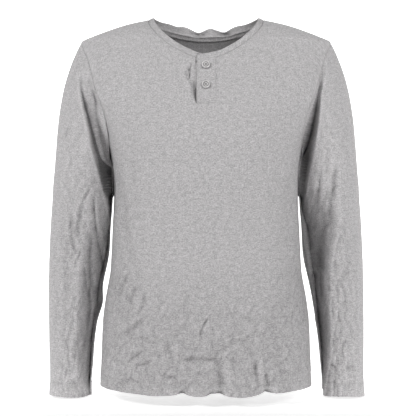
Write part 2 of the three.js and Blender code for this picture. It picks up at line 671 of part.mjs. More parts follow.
function placketOver() {
  const grid = placketStrip(() => -PLACKET_HALF, () => PLACKET_HALF - SEAM_GAP, 6, lapNeck(1));
  return wall(grid, { thickness: () => PLACKET_FOLD, lift: () => PLACKET_LIFT });
}
function placketUnder() {
  const left = (z) => -PLACKET_HALF - PLACKET_TUCK + slotBow(-1, -PLACKET_HALF - 0.1, z);
  const grid = placketStrip(left, () => PLACKET_HALF + PLACKET_TUCK, 7, lapNeck(-1));
  return wall(grid, { thickness: () => CLOTH, lift: () => -(CLOTH + SEAM_GAP) });
}

// ---------------------------------------------------------------- buttons
const wasm = await Module();
wasm.setup();

function solidOf(geometry) {
  const bare = geometry.clone();
  bare.deleteAttribute("normal");
  bare.deleteAttribute("uv");
  const merged = mergeVertices(bare, 1e-4);
  return new wasm.Manifold(
    new wasm.Mesh({
      numProp: 3,
      vertProperties: merged.attributes.position.array,
      triVerts: new Uint32Array(merged.index.array),
    }),
  );
}
function geometryOf(solid) {
  const mesh = solid.getMesh();
  return new THREE.BufferGeometry()
    .setAttribute("position", new THREE.Float32BufferAttribute(mesh.vertProperties, 3))
    .setIndex([...mesh.triVerts]);
}

// Half section of the button: radius and height, from its back to the well in its face.
const BUTTON_PROFILE = [
  { r: 0, h: 0 },
  { r: 0.88, h: 0 },
  { r: 1, h: 0.7 },
  { r: 1, h: 1.7 },
  { r: 0.92, h: 2.4 },
  { r: 0.8, h: 2.5 },
  { r: 0.66, h: 1.9 },
  { r: 0, h: 1.8 },
];
const BUTTON_HOLE_R = 0.9;
const BUTTON_HOLE_OUT = 1.9; // each of the four holes from the button's axis, in x and in y
function buttonGeometry() {
  const outline = BUTTON_PROFILE.map(({ r, h }) => new THREE.Vector2(r * BUTTON_R, h));
  let solid = solidOf(new THREE.LatheGeometry(outline, 20));
  for (const a of [-1, 1])
    for (const b of [-1, 1]) {
      const hole = new THREE.CylinderGeometry(BUTTON_HOLE_R, BUTTON_HOLE_R, 8, 6);
      hole.translate((a * BUTTON_HOLE_OUT) / sqrt(2), 1, (b * BUTTON_HOLE_OUT) / sqrt(2));
      solid = solid.subtract(solidOf(hole));
    }
  return geometryOf(solid);
}

// ---------------------------------------------------------------- the shirt
const jersey = () => new THREE.MeshStandardMaterial({ color: 0xb4b2b3, roughness: 0.95 });
const inside = () => new THREE.MeshStandardMaterial({ color: 0x8f8d8c, roughness: 0.95 });
const plastic = () => new THREE.MeshStandardMaterial({ color: 0xb9b8b9, roughness: 0.45 });

const shirt = new THREE.Group();
shirt.name = "henley_shirt";
function add(name, geometry, material) {
  const mesh = new THREE.Mesh(geometry, material);
  mesh.name = name;
  shirt.add(mesh);
  return mesh;
}

add("front", wall(front, { thickness: hemThick, keep: (r, c) => !inSlot(r, c) }), jersey());
add("back", wall(back, { thickness: hemThick }), jersey());
add("sleeve_left", wall(sleeveLeft, { thickness: cuffThick }), jersey());
add("sleeve_right", wall(sleeveRight, { thickness: cuffThick }), jersey());
add("neckband", neckband(), jersey());
add("neck_tape", neckTape(), inside());
add("placket_over", placketOver(), jersey());
add("placket_under", placketUnder(), jersey());

BUTTON_Z.forEach((z, i) => {
  const seat = bodyPoint(-1, 0, z);
  const above = bodyPoint(-1, 0, z + 5);
  const slope = above.sub(seat).normalize();
  const out = vec(0, -slope.z, slope.y);
  const button = add(i === 0 ? "button_upper" : "button_lower", buttonGeometry(), plastic());
  button.position.copy(seat).addScaledVector(out, PLACKET_LIFT + SEAM_GAP + 0.15);
  button.quaternion.setFromUnitVectors(vec(0, 1, 0), out);
});

export default shirt;
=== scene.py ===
"""A long-sleeved henley shirt in grey marl jersey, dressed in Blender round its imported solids.

Sizes are in millimetres, as in the part's source, and become metres when a mesh is made.
+Z is up, the wearer faces -Y and the wearer's left arm is at +X.
"""

import math
from collections import namedtuple

import bmesh
import bpy
import numpy as np
from mathutils import Matrix, Vector


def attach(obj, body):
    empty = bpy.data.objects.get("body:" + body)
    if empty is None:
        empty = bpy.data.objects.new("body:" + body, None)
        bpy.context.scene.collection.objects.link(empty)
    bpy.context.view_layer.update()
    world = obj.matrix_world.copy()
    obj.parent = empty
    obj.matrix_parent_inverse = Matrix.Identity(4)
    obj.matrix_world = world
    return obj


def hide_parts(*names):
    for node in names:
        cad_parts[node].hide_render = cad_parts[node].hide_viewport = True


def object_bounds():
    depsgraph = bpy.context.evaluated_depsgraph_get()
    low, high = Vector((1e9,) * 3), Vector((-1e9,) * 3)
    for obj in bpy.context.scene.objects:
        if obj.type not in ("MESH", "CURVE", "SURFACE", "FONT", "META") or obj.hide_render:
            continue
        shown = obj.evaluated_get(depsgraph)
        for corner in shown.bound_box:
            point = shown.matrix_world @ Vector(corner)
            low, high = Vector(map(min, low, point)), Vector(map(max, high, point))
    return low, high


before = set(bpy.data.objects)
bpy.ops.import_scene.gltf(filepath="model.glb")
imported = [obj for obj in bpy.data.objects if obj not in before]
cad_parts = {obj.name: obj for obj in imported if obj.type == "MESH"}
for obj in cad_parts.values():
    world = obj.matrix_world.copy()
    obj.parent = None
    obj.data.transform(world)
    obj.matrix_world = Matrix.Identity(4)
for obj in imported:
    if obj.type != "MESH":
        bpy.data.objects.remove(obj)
cad_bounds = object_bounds()

MM = 0.001
LOW, HIGH = (Vector(corner) for corner in cad_bounds)
MIDDLE = (LOW + HIGH) / 2


def table(kind, *rows):
    return [kind(*row) for row in rows]


# ------------------------ driving sizes
CLOTH = 1.1  # jersey wall
HEM_PLY = 0.7  # what a turned hem adds inside
BODY_HEM = 22
CUFF_HEM = 25
TWIN_NEEDLE = 5  # between the two rows of hem stitching

NECK_HALF = 108  # where the neck meets the shoulder seams
NECK_TOP = 21.5  # height there
FRONT_DROP = 83
BACK_DROP = 20.5

TIP_Z = -22  # shoulder tip
UNDERARM_Z = -215
ARMHOLE_FRONT = 52  # how far forward of the side the armhole is scooped
ARMHOLE_BACK = 64  # and how far back
CHEST_DIP = 12  # how far the chest line dips at the centre
HEM_CENTRE_Z = -661
HEM_SIDE_RISE = 3

PLACKET_HALF = 17.5
PLACKET_BOW = 6  # how far the slot's loose edge bows aside
PLACKET_TUCK = 5  # how far the lower placket runs on under the front
PLACKET_FOLD = 2.2  # thickness of the upper placket's fold
PLACKET_LIFT = 1.2  # its height over the front
BUTTON_Z = (-73.5, -111)
BUTTON_R = 7.5

BAND_WIDTH = 11.5
BAND_FOLD = 2.4  # thickness of the folded band
BAND_LIFT = 0.4
TAPE_WIDTH = 9
TAPE_THICK = 0.9

ROUNDNESS = 2.3  # of the body's section; 2 would be an ellipse
SLEEVE_TOP_Z = -262  # where the cap has become a tube

Body = namedtuple("Body", "z width front back")
TORSO = table(Body,
    (30, 74, 5, 20), (NECK_TOP, NECK_HALF, 11, 32), (11, 151, 26, 50), (0, 184, 39, 63),
    (-11, 212, 47.5, 73), (TIP_Z, 234, 54, 80), (-40, 239, 63, 88), (-62, 240, 73, 96),
    (-90, 236, 84, 104), (-118, 226, 95, 110), (-158, 203, 108, 114), (UNDERARM_Z, 180, 117, 113),
    (-262, 173.2, 117, 108), (-310, 171.5, 114, 101), (-380, 174.5, 111, 99), (-445, 178, 111, 103),
    (-502, 187.5, 112.5, 108), (-540, 192, 113.5, 110.5), (-600, 194.5, 115, 113),
    (-680, 198, 117, 115))
Arm = namedtuple("Arm", "z x width y depth")
SLEEVE = table(Arm,
    (SLEEVE_TOP_Z, 229.2, 54.2, 5, 62.5), (-295, 230.4, 55.8, 5, 60.5), (-329, 232.2, 55.9, 4, 57),
    (-389, 237.2, 54.4, 2, 50), (-426, 239.8, 52.8, 0, 47), (-464, 243, 50.4, -2, 44.5),
    (-501, 246.3, 47.3, -4, 42.5), (-539, 249, 44.6, -6, 40), (-576, 251.4, 42, -8, 38),
    (-614, 252.8, 40, -9, 35.5), (-651, 254.6, 38.4, -10, 33), (-677, 256, 39, -11, 32))
CUFF_Z = SLEEVE[-1].z
CUFF_SWING = 3.5  # how far the right cuff swings in
SWING_FROM = -470
LEAVE = 2.6  # how strongly the cap sets out sideways from its armhole
ARRIVE = 0.4  # how much of that is left where it becomes the tube
CLEAR = 4  # the least it sets out
SLEEVE_ROOM = 7.5  # least gap inside a sleeve between its front and its back
REACH_IN = 22  # how far a sleeve reaches in behind the body
FLANK_GAP = 2.4  # its gap there to the body's side

# Steps of the cloth's grids, before each is divided further.
NECK_COLS = 6
SHOULDER_COLS = 6
HALF_COLS = 1 + NECK_COLS + SHOULDER_COLS
SIDE_ROWS = 14
ARM_ROWS = 12
SLOT_ROWS = 5
CAP_ROWS = 9
SLEEVE_ROWS = 18

# ------------------------ folds
# A fold runs from (x0, z0) to (x1, z1) as seen from in front, bows sideways in the middle,
# and rises (or sinks) by depth. sharp folds have a crease for a crest.
Fold = namedtuple("Fold", "x0 z0 x1 z1 bow width depth sharp", defaults=[0])
FRONT_FOLDS = table(Fold,
    (-168, -250, -150, -420, 6, 12, -3), (-150, -300, -128, -440, -5, 8, -2),
    (160, -240, 150, -400, -6, 12, -3), (148, -410, 164, -520, 5, 10, -3),
    (168, -440, 178, -560, 4, 8, -2.5), (-158, -495, -140, -445, 2, 5, -2.2),
    (-138, -505, -124, -470, 2, 5, -2.2), (-122, -520, -108, -480, -2, 5, -1.8),
    (-146, -560, -112, -530, 3, 6, -2.2), (-140, -606, -110, -584, 2, 4, -2.4, 1),
    (-132, -612, -96, -600, -2, 4, -1.8, 1), (6, -522, -11, -565, -4, 3.4, -2.8, 1),
    (9, -536, 14, -556, 1, 3, -1.8, 1), (-44, -598, 22, -600, 4, 3.6, -2.8, 1),
    (-30, -606, 10, -610, -3, 6, 2), (-76, -632, -50, -628, 2, 5, -2.6, 1),
    (20, -585, 25, -650, 2, 8, -3.5), (40, -600, 48, -655, -3, 9, 3),
    (86, -600, 91, -640, 1, 3.4, -3.4, 1), (98, -596, 100, -650, -2, 6, 2.8),
    (105, -622, 112, -648, 1, 3.4, -3, 1), (60, -560, 84, -596, 3, 8, -1.8),
    (124, -570, 140, -640, 3, 9, -2), (-52, -540, -80, -590, 4, 9, -1.8),
    (-34, -500, -10, -470, 3, 10, -1.2), (-24, -66, -21, -140, -2, 3.5, -2.2),
    (-27, -60, -25, -82, 0, 3.4, -3.2, 1), (-31, -74, -25, -102, -1, 3.4, -4.4, 1),
    (-37, -82, -29, -108, 0, 3.4, -2.8, 1))
BACK_FOLDS = table(Fold,
    (-165, -240, -120, -330, 6, 14, -4), (168, -240, 128, -340, -6, 14, -4),
    (-150, -350, -120, -480, -6, 12, -3.5), (146, -340, 128, -470, 5, 12, -3.5),
    (-60, -300, -38, -520, 8, 20, 3.5), (56, -320, 72, -520, -8, 22, 3.5),
    (4, -470, -6, -640, 5, 18, -4), (110, -480, 128, -640, -4, 14, 3.5),
    (-104, -500, -118, -640, 4, 14, 3), (-70, -580, -58, -650, 2, 8, -2.8),
    (48, -590, 56, -655, 2, 8, -2.8), (-40, -420, 40, -436, -8, 8, -1.6),
    (-60, -442, 20, -470, -8, 7, -1.4), (-150, -90, -90, -60, 4, 14, -1.5),
    (150, -90, 90, -60, -4, 14, -1.5))
# On a sleeve the folds are given for the arm's own side: x grows away from the body.
LEFT_FRONT_FOLDS = table(Fold,
    (209, -262, 205, -342, -1, 2.8, -3.4, 1), (214, -262, 210, -330, 0, 5, 2),
    (235, -255, 231, -330, -1, 5, -3), (231, -325, 222, -372, -1, 8, -3),
    (199, -268, 190, -340, 1, 6, 2.5), (192, -355, 194, -400, 0, 2.4, -2.4, 1),
    (187, -345, 188, -400, 0, 4, 2), (188, -400, 195, -446, 1, 3, -4, 1),
    (197, -410, 199, -450, 0, 3, 2.2), (213, -400, 213, -452, 0, 6, -5),
    (206, -452, 200, -492, -1, 8, -9), (211, -455, 201, -500, 0, 2.8, 4, 1),
    (213.5, -444, 216, -505, -1, 2.8, -4.5, 1), (219, -455, 220, -500, 0, 4, 2),
    (227, -448, 226, -485, 0, 4, -2.2), (206, -512, 217, -600, 2, 4.5, -4),
    (216, -595, 219, -612, 0, 3, 2.5), (214, -612, 214, -622, 0, 3, -2.5),
    (228, -596, 227, -608, 0, 2.4, -2, 1), (229, -615, 240, -624, -1, 3, -3.4, 1),
    (225, -624, 232, -631, 0, 3, 2.6), (228, -650, 237, -648, 0, 2.6, -1.6, 1),
    (252, -626, 272, -620, 2, 4, -1.6), (250, -150, 262, -330, 4, 10, -2),
    (268, -200, 274, -420, 3, 8, -1.5))
RIGHT_FRONT_FOLDS = table(Fold,
    (251, -180, 256, -205, 1, 3, -2.2, 1), (206, -312, 203, -392, -1, 3.2, -5, 1),
    (199, -318, 197, -385, 0, 5, 3.5), (203, -388, 196, -445, 1, 3.2, -7, 1),
    (197, -440, 194, -490, -1, 3.2, -6, 1), (190, -400, 193, -440, 1, 3.5, 4),
    (186, -395, 189, -432, 1, 3, -4), (211, -380, 214, -480, 2, 3.6, -4.5, 1),
    (205, -430, 205, -488, 1, 4, 4), (216, -470, 219, -555, -1, 3.4, -6, 1),
    (224, -435, 217, -500, 1, 3, -4.5, 1), (229, -400, 231, -436, 0, 2.6, -2.5, 1),
    (231, -492, 229, -516, 0, 2.4, -2, 1), (209, -500, 213, -556, -1, 3.4, 4.5),
    (206, -500, 211, -522, 1, 2.4, 2.5, 1), (202, -505, 205, -540, 1, 4, -5),
    (222, -556, 224, -600, 1, 3.4, -3), (216, -590, 218, -660, 1, 4.5, -3.6),
    (228, -330, 232, -390, 2, 6, -2.2), (240, -340, 244, -420, 2, 7, -1.8),
    (250, -400, 252, -520, 3, 8, -1.6), (236, -560, 232, -620, 2, 6, -2))
SEAM_CREASE = {1: 0, -1: 5}  # how deep each sleeve is creased right beside its seam
# Beside each armhole the sleeve sinks back from its seam into a hollow, and a ridge bounds it.
Hollow = namedtuple("Hollow", "z seam valley ridge rim deep")
LEFT_HOLLOW = table(Hollow,
    (-60, 214, 218, 228, 9, 0), (-92, 207, 210, 219, 8, 3), (-122, 196, 205, 212, 7, 10),
    (-153, 182, 201, 208.5, 6, 22), (-180, 175, 196, 205, 6, 36), (-212, 168, 190, 200.5, 8, 50),
    (-245, 162, 183, 195, 10, 60), (-284, 150, 176, 188, 12, 66), (-323, 145, 172, 184, 12, 54),
    (-352, 140, 168, 181, 12, 34), (-392, 136, 164, 179, 10, 0))
RIGHT_HOLLOW = table(Hollow,
    (-84, 210, 215, 236, 7, 0), (-112, 202, 207, 233, 5, 5), (-136, 195, 202, 228, 4, 11),
    (-164, 186, 200, 220.5, 3.5, 18), (-190, 179, 197, 215, 3.5, 26), (-212, 172, 194, 211, 4, 34),
    (-243, 164, 189, 203.5, 5, 42), (-266, 156, 184, 197.5, 6, 50), (-299, 150, 176, 189.5, 7, 58),
    (-336, 145, 168, 182, 8, 46), (-372, 140, 162, 179, 8, 22), (-396, 140, 160, 178, 7, 0))
# Lower down, the inner front of each sleeve is turned in towards the body.
Facet = namedtuple("Facet", "z inner ridge deep")
LEFT_FACET = table(Facet,
    (-290, 174, 240, 0), (-343, 178, 243, 50), (-380, 180, 238, 78), (-406, 184, 233, 82),
    (-434, 187, 229, 82), (-455, 190, 227, 76), (-500, 196, 227, 62), (-545, 200, 228, 54),
    (-590, 205, 228, 46), (-632, 209, 223, 30), (-660, 211, 220, 12), (-690, 214, 218, 3))
RIGHT_FACET = table(Facet,
    (-340, 178, 206, 0), (-400, 182, 226, 36), (-450, 186, 232, 52), (-500, 190, 234, 58),
    (-560, 196, 236, 56), (-620, 204, 236, 42), (-655, 208, 235, 18), (-690, 212, 234, 3))
# Beside the waist a sleeve fills out a little towards the body.
Swell = namedtuple("Swell", "z height out")
SWELLS = {1: table(Swell, (-415, 42, 4)), -1: table(Swell, (-415, 42, 4), (-508, 24, 7))}
BACK_ARM_FOLDS = table(Fold,
    (205, -150, 180, -320, -6, 10, -10), (222, -150, 195, -330, -6, 11, 4),
    (232, -330, 212, -420, -5, 8, -5), (246, -360, 220, -450, -5, 8, -4),
    (214, -430, 236, -500, 5, 7, -4), (262, -250, 268, -420, 4, 10, -2),
    (244, -520, 232, -610, 4, 7, -2.5))
# Waves of the body's hem and ripples of the neckband's free edge at the back.
Wave = namedtuple("Wave", "x width out drop")
FRONT_HEM = table(Wave,
    (-140, 22, 2, 0.5), (-95, 26, 5, 1.5), (-43, 12, -5, -2.2), (-14, 16, 4, 1), (14, 9, -4, -1.6),
    (28, 8, -4, -1.8), (64, 24, 7, 3), (106, 11, -5, -2.2), (132, 16, 2, 0))
BACK_HEM = table(Wave,
    (-120, 26, 6, 2), (-58, 22, -5, -2), (8, 26, 6, 2), (70, 22, -5, -1), (126, 24, 5, 2))
HEM_WAVE_HEIGHT = 70
# Here and there the very edge curls under.
FRONT_NICKS = table(Wave,
    (-43, 6, -13, -0.6), (8, 6, -11, -0.6), (24, 8, -12, -0.6), (112, 7, -13, -0.6))
BACK_NICKS = table(Wave, (-64, 8, -9, -0.6), (36, 7, -8, -0.6))
HEM_NICK_HEIGHT = 11
# By side: the front is -1 and the back 1.
PANEL_SHAPES = {-1: (FRONT_FOLDS, FRONT_HEM, FRONT_NICKS), 1: (BACK_FOLDS, BACK_HEM, BACK_NICKS)}
# By hand: the left arm is 1 and the right -1.
ARM_SHAPES = {1: (LEFT_FRONT_FOLDS, LEFT_HOLLOW, LEFT_FACET),
    -1: (RIGHT_FRONT_FOLDS, RIGHT_HOLLOW, RIGHT_FACET)}
Ripple = namedtuple("Ripple", "x width up back")
NECK_RIPPLES = table(Ripple,
    (-78, 13, 3, 2), (-47, 14, 4.5, 3), (-17, 11, -4, -3), (9, 12, 5, 4), (40, 11, -5, -4),
    (66, 11, 2, 2))


# ------------------------ curves and noise
def lerp(a, b, t):
    return a + (b - a) * t


def hump(distance, width):
    return np.exp(-((distance / width) ** 2))


def part(t):
    """t held between 0 and 1."""
    return np.clip(t, 0, 1)


def smooth(t):
    t = part(t)
    return t * t * (3 - 2 * t)


def unit(v):
    return v / np.maximum(np.linalg.norm(v, axis=-1, keepdims=True), 1e-9)


def hermite(t, start, leave, end, arrive):
    return ((2 * t**3 - 3 * t**2 + 1) * start + (t**3 - 2 * t**2 + t) * leave
        + (3 * t**2 - 2 * t**3) * end + (t**3 - t**2) * arrive)


def column(rows, name):
    """A smooth curve through one column of a table that never overshoots its rows."""
    ordered = sorted(rows, key=lambda row: row.z)
    z = np.array([row.z for row in ordered], float)
    value = np.array([getattr(row, name) for row in ordered], float)
    slope = np.diff(value) / np.diff(z)
    before, after = np.r_[slope[0], slope], np.r_[slope, slope[-1]]
    same = before * after > 0
    tangent = np.where(same, 2 * before * after / np.where(same, before + after, 1), 0)

    def curve(at):
        at = np.clip(at, z[0], z[-1])
        i = np.clip(np.searchsorted(z, at, side="right") - 1, 0, len(z) - 2)
        span = z[i + 1] - z[i]
        t = (at - z[i]) / span
        return hermite(t, value[i], span * tangent[i], value[i + 1], span * tangent[i + 1])

    return curve


def columns(rows):
    """One curve for each column of a table after its z."""
    return [column(rows, name) for name in rows[0]._fields[1:]]


torso_width, torso_front, torso_back = columns(TORSO)
arm_x, arm_width, arm_y, arm_depth = columns(SLEEVE)


def waved(waves, name, x):
    """One column of a table of waves, added up at x."""
    return sum(getattr(w, name) * hump(x - w.x, w.width) for w in waves)


def read_at(at, run, points):
    """A line of points, read where the lengths in run come to at."""
    return np.stack([np.interp(at, run, points[:, i]) for i in range(3)], axis=-1)


def scatter(ix, iy, seed):
    """A repeatable angle for each point of a whole-number grid."""
    h = (ix.astype(np.uint32) * np.uint32(374761393)) ^ (iy.astype(np.uint32) * np.uint32(668265263))
    h = h ^ np.uint32(seed * 2246822519 & 0xFFFFFFFF)
    h = (h ^ (h >> np.uint32(13))) * np.uint32(1274126177)
    h = h ^ (h >> np.uint32(16))
    return h.astype(float) / 2**32 * math.tau


def drift(x, y, seed):
    """Gradient noise from about -0.7 to 0.7, one swing to a unit."""
    ix, iy = np.floor(x).astype(np.int64), np.floor(y).astype(np.int64)
    fx, fy = x - ix, y - iy
    sx, sy = fx**3 * (fx * (fx * 6 - 15) + 10), fy**3 * (fy * (fy * 6 - 15) + 10)
    corner = {}
    for dx in (0, 1):
        for dy in (0, 1):
            angle = scatter(ix + dx, iy + dy, seed)
            corner[dx, dy] = np.cos(angle) * (fx - dx) + np.sin(angle) * (fy - dy)
    low = lerp(corner[0, 0], corner[1, 0], sx)
    high = lerp(corner[0, 1], corner[1, 1], sx)
    return lerp(low, high, sy)


def crumple(u, v, size, stretch, seed):
    """Sharp valleys between soft pillows, as washed jersey dries: about -1 to 1."""
    wx = u + 0.35 * size * drift(u / size, v / size, seed + 7)
    wy = v + 0.35 * size * drift(u / size + 9, v / size, seed + 8)
    total = 0
    for octave, weight in enumerate((1.0, 0.5, 0.28)):
        s = size / 2**octave
        total = total + weight * (np.abs(drift(wx / s, wy / (s * stretch), seed + octave)) * 4 - 1)
    return total / 1.5


# ------------------------ the body's form
def bulge(share):
    inside = 1 - np.minimum(1, np.abs(share)) ** ROUNDNESS
    return np.maximum(0, inside) ** (1 / ROUNDNESS)


def depth_at(side, z):
    return torso_front(z) if side < 0 else torso_back(z)


def body_point(side, x, z):
    x, z = np.broadcast_arrays(np.asarray(x, float), np.asarray(z, float))
    return np.stack([x, side * depth_at(side, z) * bulge(x / torso_width(z)), z], axis=-1)


def shoulder_height(x):
    low = np.full_like(np.asarray(x, float), TIP_Z)
    high = np.full_like(low, NECK_TOP)
    for _ in range(40):
        middle = (low + high) / 2
        wider = torso_width(middle) > x
        low, high = np.where(wider, middle, low), np.where(wider, high, middle)
    return (low + high) / 2


def neck_height(side, x):
    share = np.minimum(1, np.abs(x) / NECK_HALF)
    if side > 0:
        return NECK_TOP - BACK_DROP * (1 - share**2)
    return NECK_TOP - FRONT_DROP * (1 - share**1.45) ** 0.65


def chest_z(k):
    return UNDERARM_Z - CHEST_DIP * (1 - (k / HALF_COLS) ** 2)


FIRST_TURN = math.asin((PLACKET_HALF / float(torso_width(chest_z(1)))) ** (ROUNDNESS / 2))


def width_share(k):
    turn = lerp(FIRST_TURN, math.pi / 2, np.maximum(0, k - 1) / (HALF_COLS - 1))
    return np.minimum(k, 1) * np.sin(turn) ** (2 / ROUNDNESS)


def top_of(side, k):
    """x and z of column k on a panel's top edge, along the neck and then the shoulder."""
    last = 1 + NECK_COLS
    along = part((k - last) / SHOULDER_COLS)
    shoulder_x = lerp(NECK_HALF, float(torso_width(TIP_Z)), along)
    start = math.asin(PLACKET_HALF / NECK_HALF)
    turn = lerp(start, math.pi / 2, part((k - 1) / NECK_COLS))
    neck_x = np.minimum(k, 1) * NECK_HALF * np.sin(turn)
    at = np.maximum(neck_x, PLACKET_HALF) if side < 0 else neck_x
    x = np.where(k > last, shoulder_x, neck_x)
    z = np.where(k > last, shoulder_height(shoulder_x), neck_height(side, at))
    return x, z


def rise(t, k):
    """How far column k has risen at share t of the rows from the chest to the top."""
    turning = (1 - np.cos(math.pi * t)) / 2
    even = 1 - (1 - t) ** 1.25
    return lerp(even, turning, part((k - 1) / NECK_COLS) ** 2)


def armhole_x(side, t, z):
    depth = (ARMHOLE_FRONT if side < 0 else ARMHOLE_BACK) * np.sin(math.pi * t**0.82)
    return torso_width(z) * bulge(depth / depth_at(side, z))


SLOT_BOTTOM = float(lerp(chest_z(0), top_of(-1, np.array(0.0))[1], rise(SLOT_ROWS / ARM_ROWS, 0)))


def slot_bow(x, z):
    """How far the slot's loose edge, and the cloth beside it, stand off the placket."""
    top = float(neck_height(-1, PLACKET_HALF))
    t = part((z - SLOT_BOTTOM) / (top - SLOT_BOTTOM))
    near = (x < -PLACKET_HALF + 0.01) & (z > SLOT_BOTTOM) & (z < top + 1)
    return np.where(near, -PLACKET_BOW * np.sin(math.pi * t**0.8) * hump(x + PLACKET_HALF, 26), 0)


def panel_base(side, rows, cols):
    """Outer points of a body panel, by row from the hem and column from the centre."""
    r, k = rows[:, None], np.abs(cols)[None, :]
    share, chest = width_share(k), chest_z(k)
    hem = HEM_CENTRE_Z + HEM_SIDE_RISE * share**2
    up_side = lerp(hem + BODY_HEM, chest, part((r - 1) / (SIDE_ROWS - 1)))
    low_z = np.where(r < 1, hem + r * BODY_HEM, up_side)
    low_x = torso_width(low_z) * share
    t = part((r - SIDE_ROWS) / ARM_ROWS)
    top_x, top_z = top_of(side, k)
    up, edge_up = rise(t, k), rise(t, HALF_COLS)
    high_z = lerp(chest, top_z, up)
    edge_z = lerp(UNDERARM_Z, TIP_Z, edge_up)
    straight = lerp(torso_width(UNDERARM_Z), torso_width(TIP_Z), edge_up)
    pull = (k / HALF_COLS) ** 4 * (armhole_x(side, t, edge_z) - straight)
    high_x = lerp(torso_width(chest) * share, top_x, up) + pull
    below = r <= SIDE_ROWS
    x = np.sign(cols)[None, :] * np.where(below, low_x, high_x)
    z = np.where(below, low_z, high_z)
    p = body_point(side, x, z)
    if side < 0:
        p[..., 0] += slot_bow(x, z)
    out = 0 * z
    for waves, reach in zip(PANEL_SHAPES[side][1:], (HEM_WAVE_HEIGHT, HEM_NICK_HEIGHT)):
        near = np.maximum(0, 1 - (z - HEM_CENTRE_Z) / reach) ** 2
        p[..., 2] -= near * waved(waves, "drop", x)
        out = out + near * waved(waves, "out", x)
    return (p, out) if side < 0 else (p[:, ::-1], out[:, ::-1])


# ------------------------ grids of cloth
def normals_of(p, ring=False):
    if ring:
        along = np.roll(p, -1, axis=1) - np.roll(p, 1, axis=1)
    else:
        along = np.gradient(p, axis=1)
    return unit(np.cross(along, np.gradient(p, axis=0)))


def arc(p, axis):
    """Distance along the cloth from its first row or column."""
    step = np.linalg.norm(np.diff(p, axis=axis), axis=-1)
    start = np.zeros_like(np.take(step, [0], axis=axis))
    return np.concatenate([start, np.cumsum(step, axis=axis)], axis=axis)


def fold_height(folds, x, z):
    height = np.zeros_like(x)
    for f in folds:
        run = np.array([f.x1 - f.x0, f.z1 - f.z0], float)
        length = np.hypot(*run)
        run /= length
        t = ((x - f.x0) * run[0] + (z - f.z0) * run[1]) / length
        off = -(x - f.x0) * run[1] + (z - f.z0) * run[0]
        off = off - f.bow * np.clip(4 * t * (1 - t), -1, 1)
        end = smooth(np.minimum(t + 0.12, 1.12 - t) / 0.4)
        width = f.width * (0.55 + 0.45 * end)
        across = np.exp(-np.abs(off) / (0.7 * width)) if f.sharp else hump(off, width)
        height += f.depth * end * across
    return height


def turned_in(facet, x, z):
    """How far the side of a sleeve that faces the body stands back behind a ridge."""
    inner, ridge, deep = (curve(z) for curve in columns(facet))
    ends = (z < facet[0].z) & (z > facet[-1].z)
    t = part((ridge - x) / (ridge - inner))
    # A soft crease along the ridge, and a slope that goes on to the sleeve's edge.
    return np.where(ends, deep * (0.5 * t + 0.25 * smooth(t) + 0.25 * (1 - (1 - t) ** 2)), 0)


def sunk(hollow, x, z):
    """How far the cloth beside an armhole stands back."""
    seam, valley, ridge, rim, deep = (curve(z) for curve in columns(hollow))
    inward, outward = (x - seam) / (valley - seam), (ridge - x) / rim
    # It falls slowly from the seam and is deepest just behind the ridge.
    groove = 1 + 0.16 * hump(x - ridge + rim + 1, 5)
    fall = smooth(inward) * (0.45 + 0.55 * part(inward))
    ends = (z < hollow[0].z) & (z > hollow[-1].z)
    return np.where(ends, deep * groove * fall * smooth(outward), 0)


def steps(*spans):
    """Grid lines for spans of (from, to, count)."""
    lines = [np.linspace(a, b, n, endpoint=False) for a, b, n in spans]
    return np.concatenate([*lines, [spans[-1][1]]])


FINE = 8
SIDE_FINE = 9
PANEL_ROWS = steps((0, 1, SIDE_FINE), (1, SIDE_ROWS, (SIDE_ROWS - 1) * SIDE_FINE),
    (SIDE_ROWS, SIDE_ROWS + SLOT_ROWS, SLOT_ROWS * FINE),
    (SIDE_ROWS + SLOT_ROWS, SIDE_ROWS + ARM_ROWS - 1, (ARM_ROWS - 1 - SLOT_ROWS) * (FINE - 1)),
    (SIDE_ROWS + ARM_ROWS - 1, SIDE_ROWS + ARM_ROWS, 2 * FINE - 2))
PANEL_COLS = steps((-HALF_COLS, HALF_COLS, 2 * HALF_COLS * FINE))
FIRST_ARM_ROW = SIDE_ROWS * SIDE_FINE
SEAM_DITCH = 1.0  # the cloth dips into its seams
DITCH_WIDTH = 2.4
FOLD_SHADE = 0.24  # painted shade that each mm of a narrow fold's depth adds
CRUSH_WAY = np.array([0.35, 1.0, 0.5])  # crumples push cloth in and out more than sideways


def creases(p, n, ring=False):
    """How far each point lies below the cloth around it, in mm, and above it where less than 0."""
    total = 0
    span = 4 if ring else 2
    for axis in (0, 1):
        wraps = ring and axis == 1
        for way in (-span, span):
            moved = np.roll(p, way, axis=axis)
            if not wraps:
                edge = [slice(None)] * 3
                edge[axis] = slice(0, span) if way > 0 else slice(-span, None)
                moved[tuple(edge)] = p[tuple(edge)]
            total = total + ((moved - p) * n).sum(axis=-1)
    return total / 4


def held_in(folds, x, z):
    """The painted shade that the narrow folds add: the deeper one is, the darker its bottom."""
    narrow = [f for f in folds if f.width < 8]
    return FOLD_SHADE * np.clip(-fold_height(narrow, x, z), 0, 8)


def ditch(distance):
    return -SEAM_DITCH * hump(distance, DITCH_WIDTH)


def stitch_groove(distance, width=1.1, depth=0.5):
    return -depth * hump(distance, width)


def hem_stitches(v, depth):
    return stitch_groove(v - depth) + stitch_groove(v - depth + TWIN_NEEDLE)


def cloth_grid(p):
    """A grid of outer points, with their normals and their lengths along the cloth."""
    return dict(p=p, n=normals_of(p), u=arc(p, 1), v=arc(p, 0))


